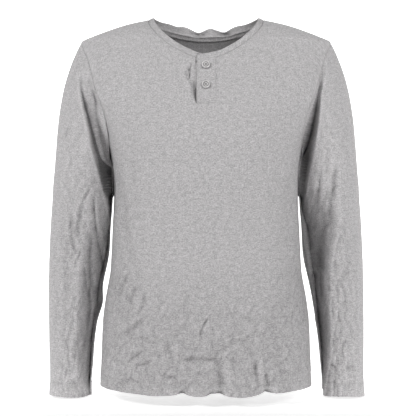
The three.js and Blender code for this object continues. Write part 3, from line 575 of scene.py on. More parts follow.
def body_panel(side):
    base, out = panel_base(side, PANEL_ROWS, PANEL_COLS)
    x, z = base[..., 0], base[..., 2]
    u, v = arc(base, 1), arc(base, 0)
    from_sides = np.minimum(u, u[:, -1:] - u)
    from_top = v[-1:, :] - v
    fade = smooth(np.minimum(from_sides, from_top) / 28)
    folds, _, nicks = PANEL_SHAPES[side]
    seed = 11 if side < 0 else 31
    height = fade * (fold_height(folds, x, z) + out)
    p = base + height[..., None] * normals_of(base)
    # Crumple grows towards the hem and the sides, and leaves the chest nearly smooth.
    low = part((-430 - z) / 150)
    flank = part((np.abs(x) - 105) / 60) * part((-190 - z) / 120)
    large = crumple(u, v, 46, 1.5, seed) * (0.35 + 0.85 * low + 0.8 * flank)
    small = crumple(u, v, 15, 1.3, seed + 50) * (0.12 + 0.3 * low + 0.5 * flank)
    lean = drift(u / 95, v / 140, seed + 90) * 1.6
    calm = smooth(from_sides / 26) * smooth(from_top / 12)
    height = calm * (large * 1.5 + small * 0.9 + lean * (0.5 + low))
    p = p + height[..., None] * normals_of(p) * CRUSH_WAY
    pucker = np.sin(u / 7.5 + 3 * drift(u / 30, v / 30, seed + 5)) * hump(v - BODY_HEM, 9)
    height = hem_stitches(v, BODY_HEM) + 0.35 * pucker + ditch(from_sides) + 1.5 * ditch(from_top)
    p = p + height[..., None] * normals_of(p)
    n = normals_of(p)
    crush = part(0.1 + 0.9 * low + 0.7 * flank)
    # Painted shade, with a painted highlight on crests: darker where the cloth lies below the cloth
    # around it and in narrow folds, and in thin lines along the seams and the hem's turn.
    crease_shade = creases(p, n) + fade * held_in(folds, x, z)
    crease_shade += 1.3 * hump(from_top, 1.5) + 0.7 * hump(from_sides, 1.5) + 0.25 * hump(v - BODY_HEM, 1.4)
    # Painted shade where the hem's very edge curls under.
    crease_shade += 3 * hump(v, 5) * sum(hump(x - w.x, w.width) for w in nicks)
    # Below the sleeves a band of painted shade runs down each side seam.
    beside = smooth((-285 - z) / 25) * smooth((z + 490) / 60)
    crease_shade += 1.6 * hump(from_sides, 3.5) * beside
    return dict(p=p, n=n, u=u - u[:, [u.shape[1] // 2]], v=v, crease_shade=crease_shade, crush=crush)


def armhole_at(z):
    """x of the front armhole seam, as a height from the underarm to the shoulder tip."""
    edge = front["p"][FIRST_ARM_ROW:, -1]
    return np.interp(z, edge[:, 2], edge[:, 0])


def cap_point(hand, start, end, t):
    """A smooth way from the armhole to the sleeve's first level ring."""
    reach = end - start
    outward = hand * np.maximum(hand * reach[..., 0], CLEAR) * LEAVE
    leave = np.stack([outward, reach[..., 1], reach[..., 2]], axis=-1)
    arrive = np.stack([reach[..., 0] * ARRIVE, 0 * reach[..., 1], reach[..., 2]], axis=-1)
    return hermite(t, start, leave, end, arrive)


def arm_level(hand, turn, z):
    swing = 0
    if hand < 0:
        swing = CUFF_SWING * np.maximum(0, (SWING_FROM - z) / (SWING_FROM - CUFF_Z))
    x = hand * (arm_x(z) - swing - arm_width(z) * np.cos(turn))
    y = arm_y(z) - arm_depth(z) * np.sin(turn)
    return np.stack(np.broadcast_arrays(x, y, z), axis=-1)


def sleeve_base(hand):
    """Column 0 is the underarm; the front comes next, then the shoulder, then the back."""
    on_front = front["p"][FIRST_ARM_ROW:, -1 if hand > 0 else 0]
    on_back = back["p"][FIRST_ARM_ROW:, -1 if hand < 0 else 0]
    first = np.concatenate([on_front[:-1], on_back[:0:-1]])
    turn = math.tau * np.arange(len(first)) / len(first)
    t = np.linspace(0, 1, CAP_ROWS * FINE + 1)[:, None, None] ** 1.35
    level = arm_level(hand, turn, np.full(len(first), float(SLEEVE_TOP_Z)))
    cap = cap_point(hand, first[None], level[None], t)
    hem_z = CUFF_Z + CUFF_HEM
    zs = steps((SLEEVE_TOP_Z, hem_z, int((SLEEVE_ROWS - 1) * FINE * 1.15)),
        (hem_z, CUFF_Z, SIDE_FINE - 1))[1:, None]
    tube = arm_level(hand, turn, zs + 0 * turn)
    # The cuff's edge dips a little and is not quite even.
    tube[..., 2] -= 1.2 * hump(zs - CUFF_Z, 20) * np.sin(2 * turn + 0.6 + hand)
    base = np.concatenate([cap, tube])
    return np.concatenate([base[:, :1], base[:, :0:-1]], axis=1) if hand > 0 else base


def sleeve_folded(hand, base, v):
    """A sleeve's points with its folds and hollows laid in, and the painted shade that its narrow folds
    add.
    """
    n = normals_of(base, ring=True)
    x, z = hand * base[..., 0], base[..., 2]
    fade = smooth((v - 3) / 30)
    folds, hollows, facets = ARM_SHAPES[hand]
    ahead = part(0.5 - n[..., 1] * 1.6)
    height, laid = (fade * lerp(of(BACK_ARM_FOLDS, x, z), of(folds, x, z), ahead)
        for of in (fold_height, held_in))
    p = base + height[..., None] * n
    hollow = sunk(hollows, x, z) + turned_in(facets, x, z)
    hollow += SEAM_CREASE[hand] * hump(z + 142, 26) * hump(x - armhole_at(z) - 5, 4)
    y = p[..., 1] + hollow * part(-n[..., 1] * 2.5 + 0.2)
    # The front never passes the back, which lies on the mirrored columns, but keeps its folds.
    opposite = base[:, (-np.arange(base.shape[1])) % base.shape[1], 1] - SLEEVE_ROOM
    opposite = opposite + np.clip(p[..., 1] - base[..., 1], -9, 4)
    y = np.where(hollow > 0.5, np.maximum(p[..., 1], np.minimum(y, opposite)), p[..., 1])
    # Below the armhole the sleeve reaches in behind the body's side.
    reach = smooth((208 - x) / 24) * smooth((y + 6) / 20) * smooth((z + 312) / 24)
    reach = reach * smooth((-212 - z) / 58)
    back_y = np.clip(y / torso_back(z), 0, 0.999)
    flank = torso_width(z) * (1 - back_y**ROUNDNESS) ** (1 / ROUNDNESS) + FLANK_GAP
    reached = x - REACH_IN * reach
    reached = np.where(reached < flank, np.minimum(x, flank), reached)
    filled = sum(s.out * hump(z - s.z, s.height) for s in SWELLS[hand])
    p[..., 0] = hand * (reached - filled * smooth((215 - x) / 20))
    p[..., 1] = y
    return p, laid


SLEEVE_GIRTH = 330  # at its middle


def ring_crumple(u, v, size, stretch, seed):
    """Crumple round a sleeve, blended so that the ring closes with no step."""
    closed = crumple(u - SLEEVE_GIRTH, v, size, stretch, seed)
    share = part((u / SLEEVE_GIRTH - 0.85) / 0.15)
    return lerp(crumple(u, v, size, stretch, seed), closed, share)


def sleeve_panel(hand):
    """A sleeve's grid, the painted shade of its creases, and how crushed its cloth is."""
    base = sleeve_base(hand)
    z, v = base[..., 2], arc(base, 0)
    p, laid = sleeve_folded(hand, base, v)
    u = arc(np.concatenate([p, p[:, :1]], axis=1), 1)
    n = normals_of(p, ring=True)
    # The side towards the body is the most crumpled, and the outside the least.
    inner = part(0.5 - hand * n[..., 0] * 0.9 - n[..., 1] * 0.25)
    low = part((-250 - z) / 120)
    seed = 71 if hand > 0 else 131
    around = np.arange(base.shape[1]) / base.shape[1] * SLEEVE_GIRTH + 0 * v
    large = ring_crumple(around, -z, 30, 3.2, seed) * (0.5 + 2.6 * inner * (0.35 + 0.65 * low))
    small = ring_crumple(around, -z, 14, 4.0, seed + 40) * (0.12 + 1.5 * inner * (0.3 + 0.7 * low))
    height = part(v / 12) * (large + small)
    p = p + height[..., None] * n * CRUSH_WAY
    from_cuff = v[-1:, :] - v
    pucker = np.sin(around / 6.5) * hump(from_cuff - CUFF_HEM, 8)
    height = hem_stitches(from_cuff, CUFF_HEM) + 0.35 * pucker + ditch(v)
    p = p + height[..., None] * n
    n = normals_of(p, ring=True)
    # Painted shade, with a painted highlight on crests: darker in creases and narrow folds, and in thin
    # lines along the armhole seam and the cuff's hem.
    crease_shade = 0.7 * creases(p, n, ring=True) + laid
    crease_shade += 0.7 * hump(v, 1.5) + 0.5 * hump(from_cuff - CUFF_HEM, 1.4)
    # Below the underarm a band of painted shade runs along the sleeve's inner seam.
    from_seam = np.minimum(around, SLEEVE_GIRTH - around)
    crease_shade += 1.7 * hump(from_seam, 30) * smooth((-280 - z) / 30) * smooth((z + 620) / 90)
    courses = np.concatenate([from_cuff, from_cuff[:, :1]], axis=1)
    crush = part(0.16 + 0.65 * inner * low)
    return dict(p=p, n=n, u=u - u[:, [u.shape[1] // 2]], v=courses, ring=True, crease_shade=crease_shade,
        crush=crush)


# ------------------------ meshes
def shell(name, grid, thick, keep=None):
    """Closes a grid of outer points into a wall, with the cloth's own lengths as its UVs."""
    p, n, ring = grid["p"], grid["n"], grid.get("ring", False)
    rows, cols = p.shape[:2]
    thick = np.broadcast_to(np.asarray(thick, float), (rows, cols))[..., None]
    points = np.concatenate([p.reshape(-1, 3), (p - n * thick).reshape(-1, 3)])
    cells = cols if ring else cols - 1
    kept = np.ones((rows - 1, cells), bool) if keep is None else keep
    r, c = np.nonzero(kept)

    def corner(layer, row, col):
        return np.stack([(layer * rows + row) * cols + col % cols, row, col], axis=-1)

    def missing(dr, dc):
        rr, cc = r + dr, c + dc
        if ring:
            cc = cc % cells
        inside = (rr >= 0) & (rr < rows - 1) & (cc >= 0) & (cc < cells)
        return ~(inside & kept[np.clip(rr, 0, rows - 2), np.clip(cc, 0, cells - 1)])

    def quad(mask, *corners):
        return np.stack([corner(a, r[mask] + b, c[mask] + d) for a, b, d in corners], axis=1)

    every = np.ones_like(r, bool)
    quads = np.concatenate([quad(every, (0, 0, 0), (0, 0, 1), (0, 1, 1), (0, 1, 0)),
        quad(every, (1, 0, 0), (1, 1, 0), (1, 1, 1), (1, 0, 1)),
        quad(missing(-1, 0), (0, 0, 0), (1, 0, 0), (1, 0, 1), (0, 0, 1)),
        quad(missing(1, 0), (0, 1, 1), (1, 1, 1), (1, 1, 0), (0, 1, 0)),
        quad(missing(0, -1), (0, 1, 0), (1, 1, 0), (1, 0, 0), (0, 0, 0)),
        quad(missing(0, 1), (0, 0, 1), (1, 0, 1), (1, 1, 1), (0, 1, 1))])
    used, index = np.unique(quads[..., 0], return_inverse=True)
    faces = index.reshape(-1, 4)
    mesh = bpy.data.meshes.new(name)
    mesh.from_pydata((points[used] * MM).tolist(), [], faces.tolist())
    uv = mesh.uv_layers.new(name="cloth")
    at = quads[..., 1:].reshape(-1, 2)
    flat = np.stack([grid["u"][at[:, 0], at[:, 1]], grid["v"][at[:, 0], at[:, 1]]], axis=-1) * MM
    uv.data.foreach_set("uv", flat.ravel().astype(np.float32))
    for label in ("crease_shade", "crush"):
        value = np.tile(np.broadcast_to(grid.get(label, 0.0), (rows, cols)).ravel(), 2)
        held = mesh.attributes.new(name=label, type="FLOAT", domain="POINT")
        held.data.foreach_set("value", value[used].astype(np.float32))
    return finish_piece(name, mesh)


def add(name, data):
    made = bpy.data.objects.new(name, data)
    bpy.context.scene.collection.objects.link(made)
    return made


def finish_piece(name, mesh):
    mesh.validate()
    mesh.shade_smooth()
    mesh.set_sharp_from_angle(angle=math.radians(50))
    return add(name, mesh)


# ------------------------ materials
def tone(hex_colour):
    """sRGB hex to linear."""
    parts = [int(hex_colour[i : i + 2], 16) / 255 for i in (1, 3, 5)]
    linear = [p / 12.92 if p <= 0.04045 else ((p + 0.055) / 1.055) ** 2.4 for p in parts]
    return (*linear, 1.0)


def node(tree, kind, inputs=None, stops=(), **settings):
    """Adds one node. An input takes a value, or is linked to another node or one of its outputs."""
    made = tree.nodes.new("ShaderNode" + kind)
    for key, value in settings.items():
        setattr(made, key, value)
    for key, given in (inputs or {}).items():
        if isinstance(given, bpy.types.Node):
            given = given.outputs[0]
        if isinstance(given, bpy.types.NodeSocket):
            tree.links.new(given, made.inputs[key])
        else:
            made.inputs[key].default_value = given
    for index, (at, colour) in enumerate(stops):
        band = made.color_ramp.elements
        if index >= len(band):
            band.new(at)
        band[index].position = at
        band[index].color = tone(colour)
    return made


def material(name):
    made = bpy.data.materials.new(name)
    made.use_nodes = True
    made.node_tree.nodes.clear()
    return made, made.node_tree


FLECK = 2.6  # mm, a tuft of light or dark fibre, drawn coarse enough to show
SLUB = 8.0  # mm, a thick place in the yarn
FINE_CREASE = 9.0  # mm, between the finest creases that drying leaves
CREASE = 1.4  # mm, how deep a plain crease is; at about twice that its painted shade is at its darkest
WALE = 1.5  # mm, between ribs of the knit, drawn a little coarse


def fine_creases(tree, cloth):
    """Short thin lines, where a slow noise passes its middle and a slower one lets them show."""
    lines = []
    for stretch, turn in (((1.0, 0.32, 1.0), 0.3), ((0.4, 1.0, 1.0), -0.25)):
        laid = node(tree, "Mapping", {"Vector": cloth, "Scale": stretch, "Rotation": (0, 0, turn)})
        path = node(tree, "TexNoise",
            {"Vector": laid, "Scale": 1000 / FINE_CREASE, "Detail": 1.5, "Roughness": 0.5})
        line = node(tree, "ValToRGB", {"Fac": path},
            [(0.47, "#000000"), (0.5, "#ffffff"), (0.53, "#000000")])
        broken = node(tree, "TexNoise",
            {"Vector": laid, "Scale": 1000 / (2.2 * FINE_CREASE), "Detail": 2.0})
        here = node(tree, "MapRange", {"Value": broken, "From Min": 0.46, "From Max": 0.57})
        lines.append(node(tree, "Math", {0: line, 1: here}, operation="MULTIPLY"))
    crush = node(tree, "Attribute", attribute_name="crush").outputs["Fac"]
    both = node(tree, "Math", {0: lines[0], 1: lines[1]}, operation="MAXIMUM")
    return node(tree, "Math", {0: both, 1: crush}, operation="MULTIPLY")


def marl_jersey(name, light, middle, dark):
    """Single jersey of marl cotton yarn: a matt, slightly fuzzy grey, flecked light and dark."""
    made, tree = material(name)
    cloth = node(tree, "UVMap", uv_map="cloth")
    along = node(tree, "Mapping", {"Vector": cloth, "Scale": (0.9, 1.25, 1.0)})
    flecks = node(tree, "TexNoise",
        {"Vector": along, "Scale": 1000 / FLECK, "Detail": 3.0, "Roughness": 0.65})
    drawn = node(tree, "Mapping", {"Vector": cloth, "Scale": (0.8, 1.4, 1.0)})
    slubs = node(tree, "TexNoise",
        {"Vector": drawn, "Scale": 1000 / SLUB, "Detail": 4.0, "Roughness": 0.7})
    fibre = node(tree, "Mix", {"A": flecks, "B": slubs, "Factor": 0.32}, data_type="FLOAT")
    yarn = node(tree, "ValToRGB", {"Fac": fibre}, [(0.38, dark), (0.5, middle), (0.62, light)])
    fine = fine_creases(tree, cloth)
    # The knit's ribs and the fine creases are relief too low for the mesh.
    across = node(tree, "SeparateXYZ", {"Vector": cloth}).outputs["X"]
    turns = node(tree, "Math", {0: across, 1: math.tau * 1000 / WALE}, operation="MULTIPLY")
    rib = node(tree, "Math", {0: turns}, operation="SINE")
    nap = node(tree, "Math", {0: rib, 1: 0.06, 2: fibre}, operation="MULTIPLY_ADD")
    relief = node(tree, "Math", {0: fine, 1: -0.5, 2: nap}, operation="MULTIPLY_ADD")
    bump = node(tree, "Bump", {"Height": relief, "Strength": 0.55, "Distance": 0.0011})
    # Washed jersey keeps its creases; painted shade darkens the cloth in them, and a painted highlight
    # pales it a little on crests.
    held = node(tree, "Attribute", attribute_name="crease_shade").outputs["Fac"]
    shade = node(tree, "MapRange", {"Value": held, "From Min": -0.5 * CREASE, "From Max": 2.2 * CREASE,
        "To Min": 1.07, "To Max": 0.34})
    # Where it is most crumpled it is painted a little darker, as shade for creases too fine to draw.
    crush = node(tree, "Attribute", attribute_name="crush").outputs["Fac"]
    crumple_shade = node(tree, "MapRange", {"Value": crush, "From Min": 0.1, "To Min": 1.0, "To Max": 0.88})
    # The fine crease lines are painted darker too: painted shade.
    fine_crease_shade = node(tree, "Math", {0: fine, 1: -0.21, 2: crumple_shade}, operation="MULTIPLY_ADD")
    shaded = node(tree, "Math", {0: shade, 1: fine_crease_shade}, operation="MULTIPLY")
    colour = node(tree, "VectorMath", {0: yarn, "Scale": shaded}, operation="SCALE")
    skin = node(tree, "BsdfPrincipled", {"Base Color": colour, "Normal": bump, "Roughness": 0.92,
        "Sheen Weight": 0.12, "Sheen Roughness": 0.5, "IOR": 1.45})
    node(tree, "OutputMaterial", {"Surface": skin})
    return made


def spun_thread(name, shaded, lit):
    """Spun polyester sewing thread: matt, with a soft twist."""
    made, tree = material(name)
    where = node(tree, "TexCoord").outputs["Object"]
    twist = node(tree, "TexNoise", {"Vector": where, "Scale": 1800.0, "Detail": 1.0})
    strand = node(tree, "ValToRGB", {"Fac": twist}, [(0.35, shaded), (0.65, lit)])
    skin = node(tree, "BsdfPrincipled", {"Base Color": strand, "Roughness": 0.7, "IOR": 1.5})
    node(tree, "OutputMaterial", {"Surface": skin})
    return made


def cast_polyester(name, deep, clouded, clear):
    """Cast polyester button stock: a satin, faintly clouded grey, with painted shade in its groove and
    holes.
    """
    made, tree = material(name)
    where = node(tree, "TexCoord").outputs["Object"]
    cloud = node(tree, "TexNoise", {"Vector": where, "Scale": 260.0, "Detail": 2.0})
    stock = node(tree, "ValToRGB", {"Fac": cloud}, [(0.3, clouded), (0.7, clear)])
    # Painted shade, from an occlusion node, darkens the stock wherever the tool cut in.
    cut = node(tree, "AmbientOcclusion", {"Distance": 0.0022}, samples=8)
    open_share = node(tree, "MapRange", {"Value": cut.outputs["AO"], "From Min": 0.35, "From Max": 0.9})
    mixed = node(tree, "Mix", {"Factor": open_share, 6: tone(deep), 7: stock}, data_type="RGBA")
    skin = node(tree, "BsdfPrincipled",
        {"Base Color": mixed.outputs[2], "Roughness": 0.36, "IOR": 1.55})
    node(tree, "OutputMaterial", {"Surface": skin})
    return made


JERSEY = marl_jersey("marl_jersey", "#d3d1d2", "#bab8b9", "#9f9d9e")
THREAD = spun_thread("spun_thread", "#8d8b8b", "#bdbbbb")
# The first grey is painted shade for the buttons' groove and holes.
BUTTON = cast_polyester("cast_polyester", "#5e5c5c", "#c8c6c6", "#dddbdb")


def dress(piece, finish, slot, *cad_nodes):
    piece.data.materials.append(finish)
    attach(piece, "root")
    if cad_nodes:
        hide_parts(*cad_nodes)
    return piece


# ------------------------ the cut pieces
front = body_panel(-1)
back = body_panel(1)
sleeve_left = sleeve_panel(1)
sleeve_right = sleeve_panel(-1)

centre = HALF_COLS * FINE
slot_row = FIRST_ARM_ROW + SLOT_ROWS * FINE
keep = np.ones((len(PANEL_ROWS) - 1, len(PANEL_COLS) - 1), bool)
keep[slot_row:, centre - FINE : centre + FINE] = False


def hem_thick(distance, depth):
    return CLOTH + HEM_PLY * (distance <= depth + 0.5)


def jersey(name, cad_node, grid, thick, keep=None):
    """A piece of the pattern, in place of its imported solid."""
    return dress(shell(name, grid, thick, keep), JERSEY, "jersey", cad_node)


front_piece = jersey("front_panel", "front", front, hem_thick(front["v"], BODY_HEM), keep)
back_piece = jersey("back_panel", "back", back, hem_thick(back["v"], BODY_HEM))
for label, grid in (("left", sleeve_left), ("right", sleeve_right)):
    thick = hem_thick(grid["v"][:, :-1], CUFF_HEM)
    jersey(f"{label}_sleeve", f"sleeve_{label}", grid, thick)


# ------------------------ neckband and tape
def neck_edge(grid, x):
    """Points of a panel's neck edge at x."""
    edge = grid["p"][-1]
    edge = edge[np.argsort(edge[:, 0])]
    return read_at(x, edge[:, 0], edge)


LAP_SLOPE = 0.16


def lap_seam(x, lap):
    """Neck seam across the placket: each end of the band runs on a little past the centre."""
    past = np.sign(x) == -lap
    z = np.where(past, neck_height(-1, 0.0) - LAP_SLOPE * np.abs(x), neck_height(-1, x))
    return body_point(-1, x, z)


def band_lean(side, x):
    """Which way the neckband stands from its seam."""
    across = np.minimum(1, np.abs(x) / NECK_HALF)
    straight = np.sqrt(1 - across**2)
    inwards = np.where(side < 0, 0.42, 0.24)
    lean = [-np.sign(x) * across * 1.15, -side * inwards * straight, 0.6 + 0.4 * straight]
    return unit(np.stack(lean, axis=-1))


def neckband():
    """The band's grid and its thickness, from the lower placket round to the upper one."""
    under_x = np.linspace(PLACKET_HALF - 1, -PLACKET_HALF, 6 * FINE, endpoint=False)
    start = math.asin(PLACKET_HALF / NECK_HALF)
    quarter = NECK_HALF * np.sin(np.linspace(start, math.pi / 2, NECK_COLS * FINE, endpoint=False))
    back_x = np.linspace(-NECK_HALF, NECK_HALF, 13 * FINE, endpoint=False)
    over_x = np.linspace(PLACKET_HALF, -PLACKET_HALF, 6 * FINE + 1)
    left_x = np.r_[NECK_HALF, quarter[::-1]][:-1]
    x = np.concatenate([under_x, -quarter, back_x, left_x, over_x])
    parts = [len(under_x), len(quarter), len(back_x), len(left_x), len(over_x)]
    side = np.repeat([-1, -1, 1, -1, -1], parts)
    seam = np.concatenate([lap_seam(under_x, -1), neck_edge(front, -quarter), neck_edge(back, back_x),
        neck_edge(front, left_x), lap_seam(over_x, 1)])
    blend = np.convolve(np.repeat([-1, 0, 0, 0, 1], parts), np.ones(FINE) / FINE, mode="same")
    blend[: FINE // 2], blend[-FINE // 2 :] = -1, 1
    x, side, seam, blend = x[::-1], side[::-1], seam[::-1], blend[::-1]
    t = np.linspace(-0.12, 1, 11)[:, None, None]  # it starts inside the seam
    p = seam[None] + t * BAND_WIDTH * band_lean(side, x)[None]
    t = t[..., 0]
    p[..., 2] += t * (side > 0) * waved(NECK_RIPPLES, "up", x)
    p[..., 1] += t * (side > 0) * waved(NECK_RIPPLES, "back", x)
    grid = cloth_grid(p)
    # Over the seam allowance the band swells, and its free edge is a soft fold.
    swell = 0.5 * np.sin(math.pi * part(t)) - 0.7 * hump(t, 0.12)
    swell = swell - 1.2 * part(-t / 0.12) + 0.25 * crumple(grid["u"], grid["v"], 16, 0.7, 211)
    lift = np.interp(blend, [-1, 0, 1], [-BAND_FOLD - 0.2, BAND_LIFT, PLACKET_LIFT + 0.2])
    round_off = np.sqrt(np.clip(1 - part((t - 0.86) / 0.14) ** 2, 0.02, 1))
    thick = BAND_FOLD * round_off * np.ones_like(grid["u"])
    grid["p"] = p + grid["n"] * (swell + lift - (BAND_FOLD - thick) / 2)[..., None]
    return grid, thick


band = jersey("neck_band", "neckband", *neckband())


def neck_tape():
    """A strip down the inside of the back, from just under the neck seam."""
    across = np.linspace(-NECK_HALF + 3, NECK_HALF - 3, 90)
    order = np.argsort(back["p"][-1, :, 0])
    rows = back["p"][-1 - 6 * FINE :, order]
    edge, below = (read_at(across, rows[-1, :, 0], row) for row in (rows[-1], rows[0]))
    t = np.linspace(TAPE_WIDTH, 0.3, 7)[:, None, None]
    grid = cloth_grid((edge + t * unit(below - edge))[:, ::-1])
    grid["p"] = grid["p"] - grid["n"] * (CLOTH + 0.1)
    return grid


tape = jersey("neck_seam_tape", "neck_tape", neck_tape(), TAPE_THICK)


# ------------------------ plackets
def strip(left, right, lap, rows=60, cols=32, drop=-0.3):
    """A placket's grid between two edges, from the slot's bottom up to the neck seam."""
    t = np.linspace(0, 1, rows + 1)[:, None]
    bottom = SLOT_BOTTOM - drop
    rough = lerp(bottom, float(neck_height(-1, 0.0)), t)
    s = np.linspace(0, 1, cols + 1)[None, :]
    x = lerp(left(rough), right(rough), s)
    p = body_point(-1, x, lerp(bottom, lap_seam(x, lap)[..., 2] - 0.3, t))
    return cloth_grid(p)


OVERLAP = 1.6  # the upper placket's sewn edges lie over the front
STITCH_IN = 2.2  # from the placket's edge to its stitching
over = strip(lambda z: 0 * z - PLACKET_HALF + 1, lambda z: 0 * z + PLACKET_HALF + OVERLAP, 1, rows=130,
    cols=56, drop=OVERLAP)
width = over["u"][:, -1:]
from_rim = np.minimum(np.minimum(over["u"], width - over["u"]), over["v"])
soft = -0.45 * hump(from_rim, 1.0) + 0.3 * crumple(over["u"], over["v"], 22, 1.4, 301)
soft = soft + stitch_groove(from_rim - STITCH_IN, 0.9, 0.35)
# Painted shade lies along the stitching, and round each button's rim.
placket_shade = 0.5 * hump(from_rim - STITCH_IN, 0.9)
for button_z in BUTTON_Z:  # each button pulls its cloth in, and painted shade rings its rim
    gap = np.hypot(over["p"][..., 0], over["p"][..., 2] - button_z)
    soft = soft - 0.7 * hump(gap, 9)
    placket_shade = placket_shade + 1.5 * hump(gap - BUTTON_R, 1.1)
over["crease_shade"] = placket_shade
over["p"] = over["p"] + over["n"] * (PLACKET_LIFT + soft)[..., None]
on_front = (over["p"][..., 0] > PLACKET_HALF - 0.6) | (over["p"][..., 2] < SLOT_BOTTOM + 0.6)
over_thick = np.where(on_front, PLACKET_LIFT - 0.3, PLACKET_FOLD)
over_piece = jersey("upper_placket", "placket_over", over, over_thick)

UNDER_GAP = 2.1  # from the front's outside to the lower placket's
under = strip(lambda z: -PLACKET_HALF - PLACKET_TUCK + slot_bow(-PLACKET_HALF - 0.1, z),
    lambda z: 0 * z + PLACKET_HALF + PLACKET_TUCK, -1)
# Where the slot's edge gapes, the lower placket hangs back from it.
gape = hump(under["p"][..., 0] + PLACKET_HALF + 2, 8) * hump(under["p"][..., 2] + 121, 17)
under["p"] = under["p"] - under["n"] * (UNDER_GAP + 5 * gape)[..., None]
under_piece = jersey("lower_placket", "placket_under", under, CLOTH)


# ------------------------ buttons
Ring = namedtuple("Ring", "r h")
BUTTON_PROFILE = table(Ring,
    (0, 0), (0.78, 0), (0.9, 0.45), (1, 1.2), (1, 1.9), (0.97, 2.35), (0.91, 2.7), (0.84, 2.8),
    (0.76, 2.7), (0.7, 2.3), (0.66, 1.5), (0.63, 0.9), (0.55, 0.9), (0.52, 1.4), (0.47, 1.75), (0, 1.8))
HOLE_R = 0.85
HOLE_OUT = 1.7


def to_object(name, shape):
    mesh = bpy.data.meshes.new(name)
    shape.to_mesh(mesh)
    shape.free()
    return add(name, mesh)


def bridge(made, rings, closed=True):
    """Faces between each ring of corners and the next; a ring of one corner is a tip."""
    for low, high in zip(rings, rings[1:]):
        count = max(len(low), len(high))
        for i in range(count if closed else count - 1):
            j = (i + 1) % count
            corners = (low[i % len(low)], low[j % len(low)], high[j % len(high)], high[i % len(high)])
            made.faces.new(tuple(dict.fromkeys(corners)))


def button_mesh(name):
    """A lathed button with a raised rim, its four holes cut through."""
    turned = bmesh.new()
    rings = []
    for ring in BUTTON_PROFILE:
        segments = 64 if ring.r else 1
        turns = [math.tau * i / segments for i in range(segments)]
        out = ring.r * BUTTON_R
        rings.append([turned.verts.new((out * math.cos(a), out * math.sin(a), ring.h)) for a in turns])
    bridge(turned, rings)
    blank = to_object(name, turned)
    for i in range(4):
        angle = math.pi / 4 + i * math.pi / 2
        bore = bmesh.new()
        bmesh.ops.create_cone(bore, cap_ends=True, segments=20, radius1=HOLE_R, radius2=HOLE_R,
            depth=12)
        drill = to_object("drill", bore)
        drill.location = (HOLE_OUT * math.cos(angle), HOLE_OUT * math.sin(angle), 1)
        cut = blank.modifiers.new("hole", "BOOLEAN")
        cut.object, cut.operation, cut.solver = drill, "DIFFERENCE", "EXACT"
        bpy.context.view_layer.update()
        done = bpy.data.meshes.new_from_object(blank.evaluated_get(bpy.context.evaluated_depsgraph_get()))
        blank.modifiers.clear()
        blank.data = done
        bpy.data.objects.remove(drill)
    return blank


def seat(z):
    """Where a button sits, and the turn that faces it along the cloth's normal."""
    here, above = body_point(-1, 0.0, z), body_point(-1, 0.0, z + 5)
    slope = unit(above - here)
    out = Vector((0, -slope[2], slope[1]))
    turn = out.to_track_quat("Z", "Y").to_matrix().to_4x4()
    return Matrix.Translation(Vector(here * MM) + out * (PLACKET_LIFT + 0.45) * MM) @ turn


def thread_cross(name):
    """Two strands over each button, each a bridge between opposite holes."""
    made = bmesh.new()
    for turn in (math.pi / 4, 3 * math.pi / 4):
        for aside in (-0.28, 0.28):
            strand = []
            for i in range(11):
                s = i / 10 * 2 - 1
                h = 1.9 + 0.3 * (1 - s**4) - 1.6 * max(0, abs(s) - 0.86) / 0.14
                x = HOLE_OUT * 1.02 * s
                strand.append(Vector((x * math.cos(turn) - aside * math.sin(turn),
                    x * math.sin(turn) + aside * math.cos(turn), h)))
            tube(made, strand, 0.22, 6)
    return to_object(name, made)


def tube(made, path, radius, sides):
    """A round thread along a path, closed at both ends."""
    rings = []
    for i, point in enumerate(path):
        ahead = (path[min(i + 1, len(path) - 1)] - path[max(i - 1, 0)]).normalized()
        across = ahead.orthogonal().normalized()
        other = ahead.cross(across)
        size = radius * (0.55 if i in (0, len(path) - 1) else 1)
        rings.append([made.verts.new(point + size * (math.cos(a) * across + math.sin(a) * other))
            for a in (math.tau * k / sides for k in range(sides))])
    bridge(made, rings)
    made.faces.new(rings[0][::-1])
    made.faces.new(rings[-1])


def place(piece, matrix):
    piece.data.transform(matrix @ Matrix.Scale(MM, 4))
    piece.data.shade_smooth()
    piece.data.set_sharp_from_angle(angle=math.radians(40))
    return piece


for label, button_z in zip(("upper", "lower"), BUTTON_Z):
    made = place(button_mesh(f"{label}_button"), seat(button_z))
    dress(made, BUTTON, "button", f"button_{label}")
    cross = place(thread_cross(f"{label}_button_thread"), seat(button_z))
    dress(cross, THREAD, "jersey")


# ------------------------ stitching
THREAD_DIP = 0.12  # how far the thread sinks into the cloth
PLACKET_THREAD = (2.4, 0.8, 0.2)


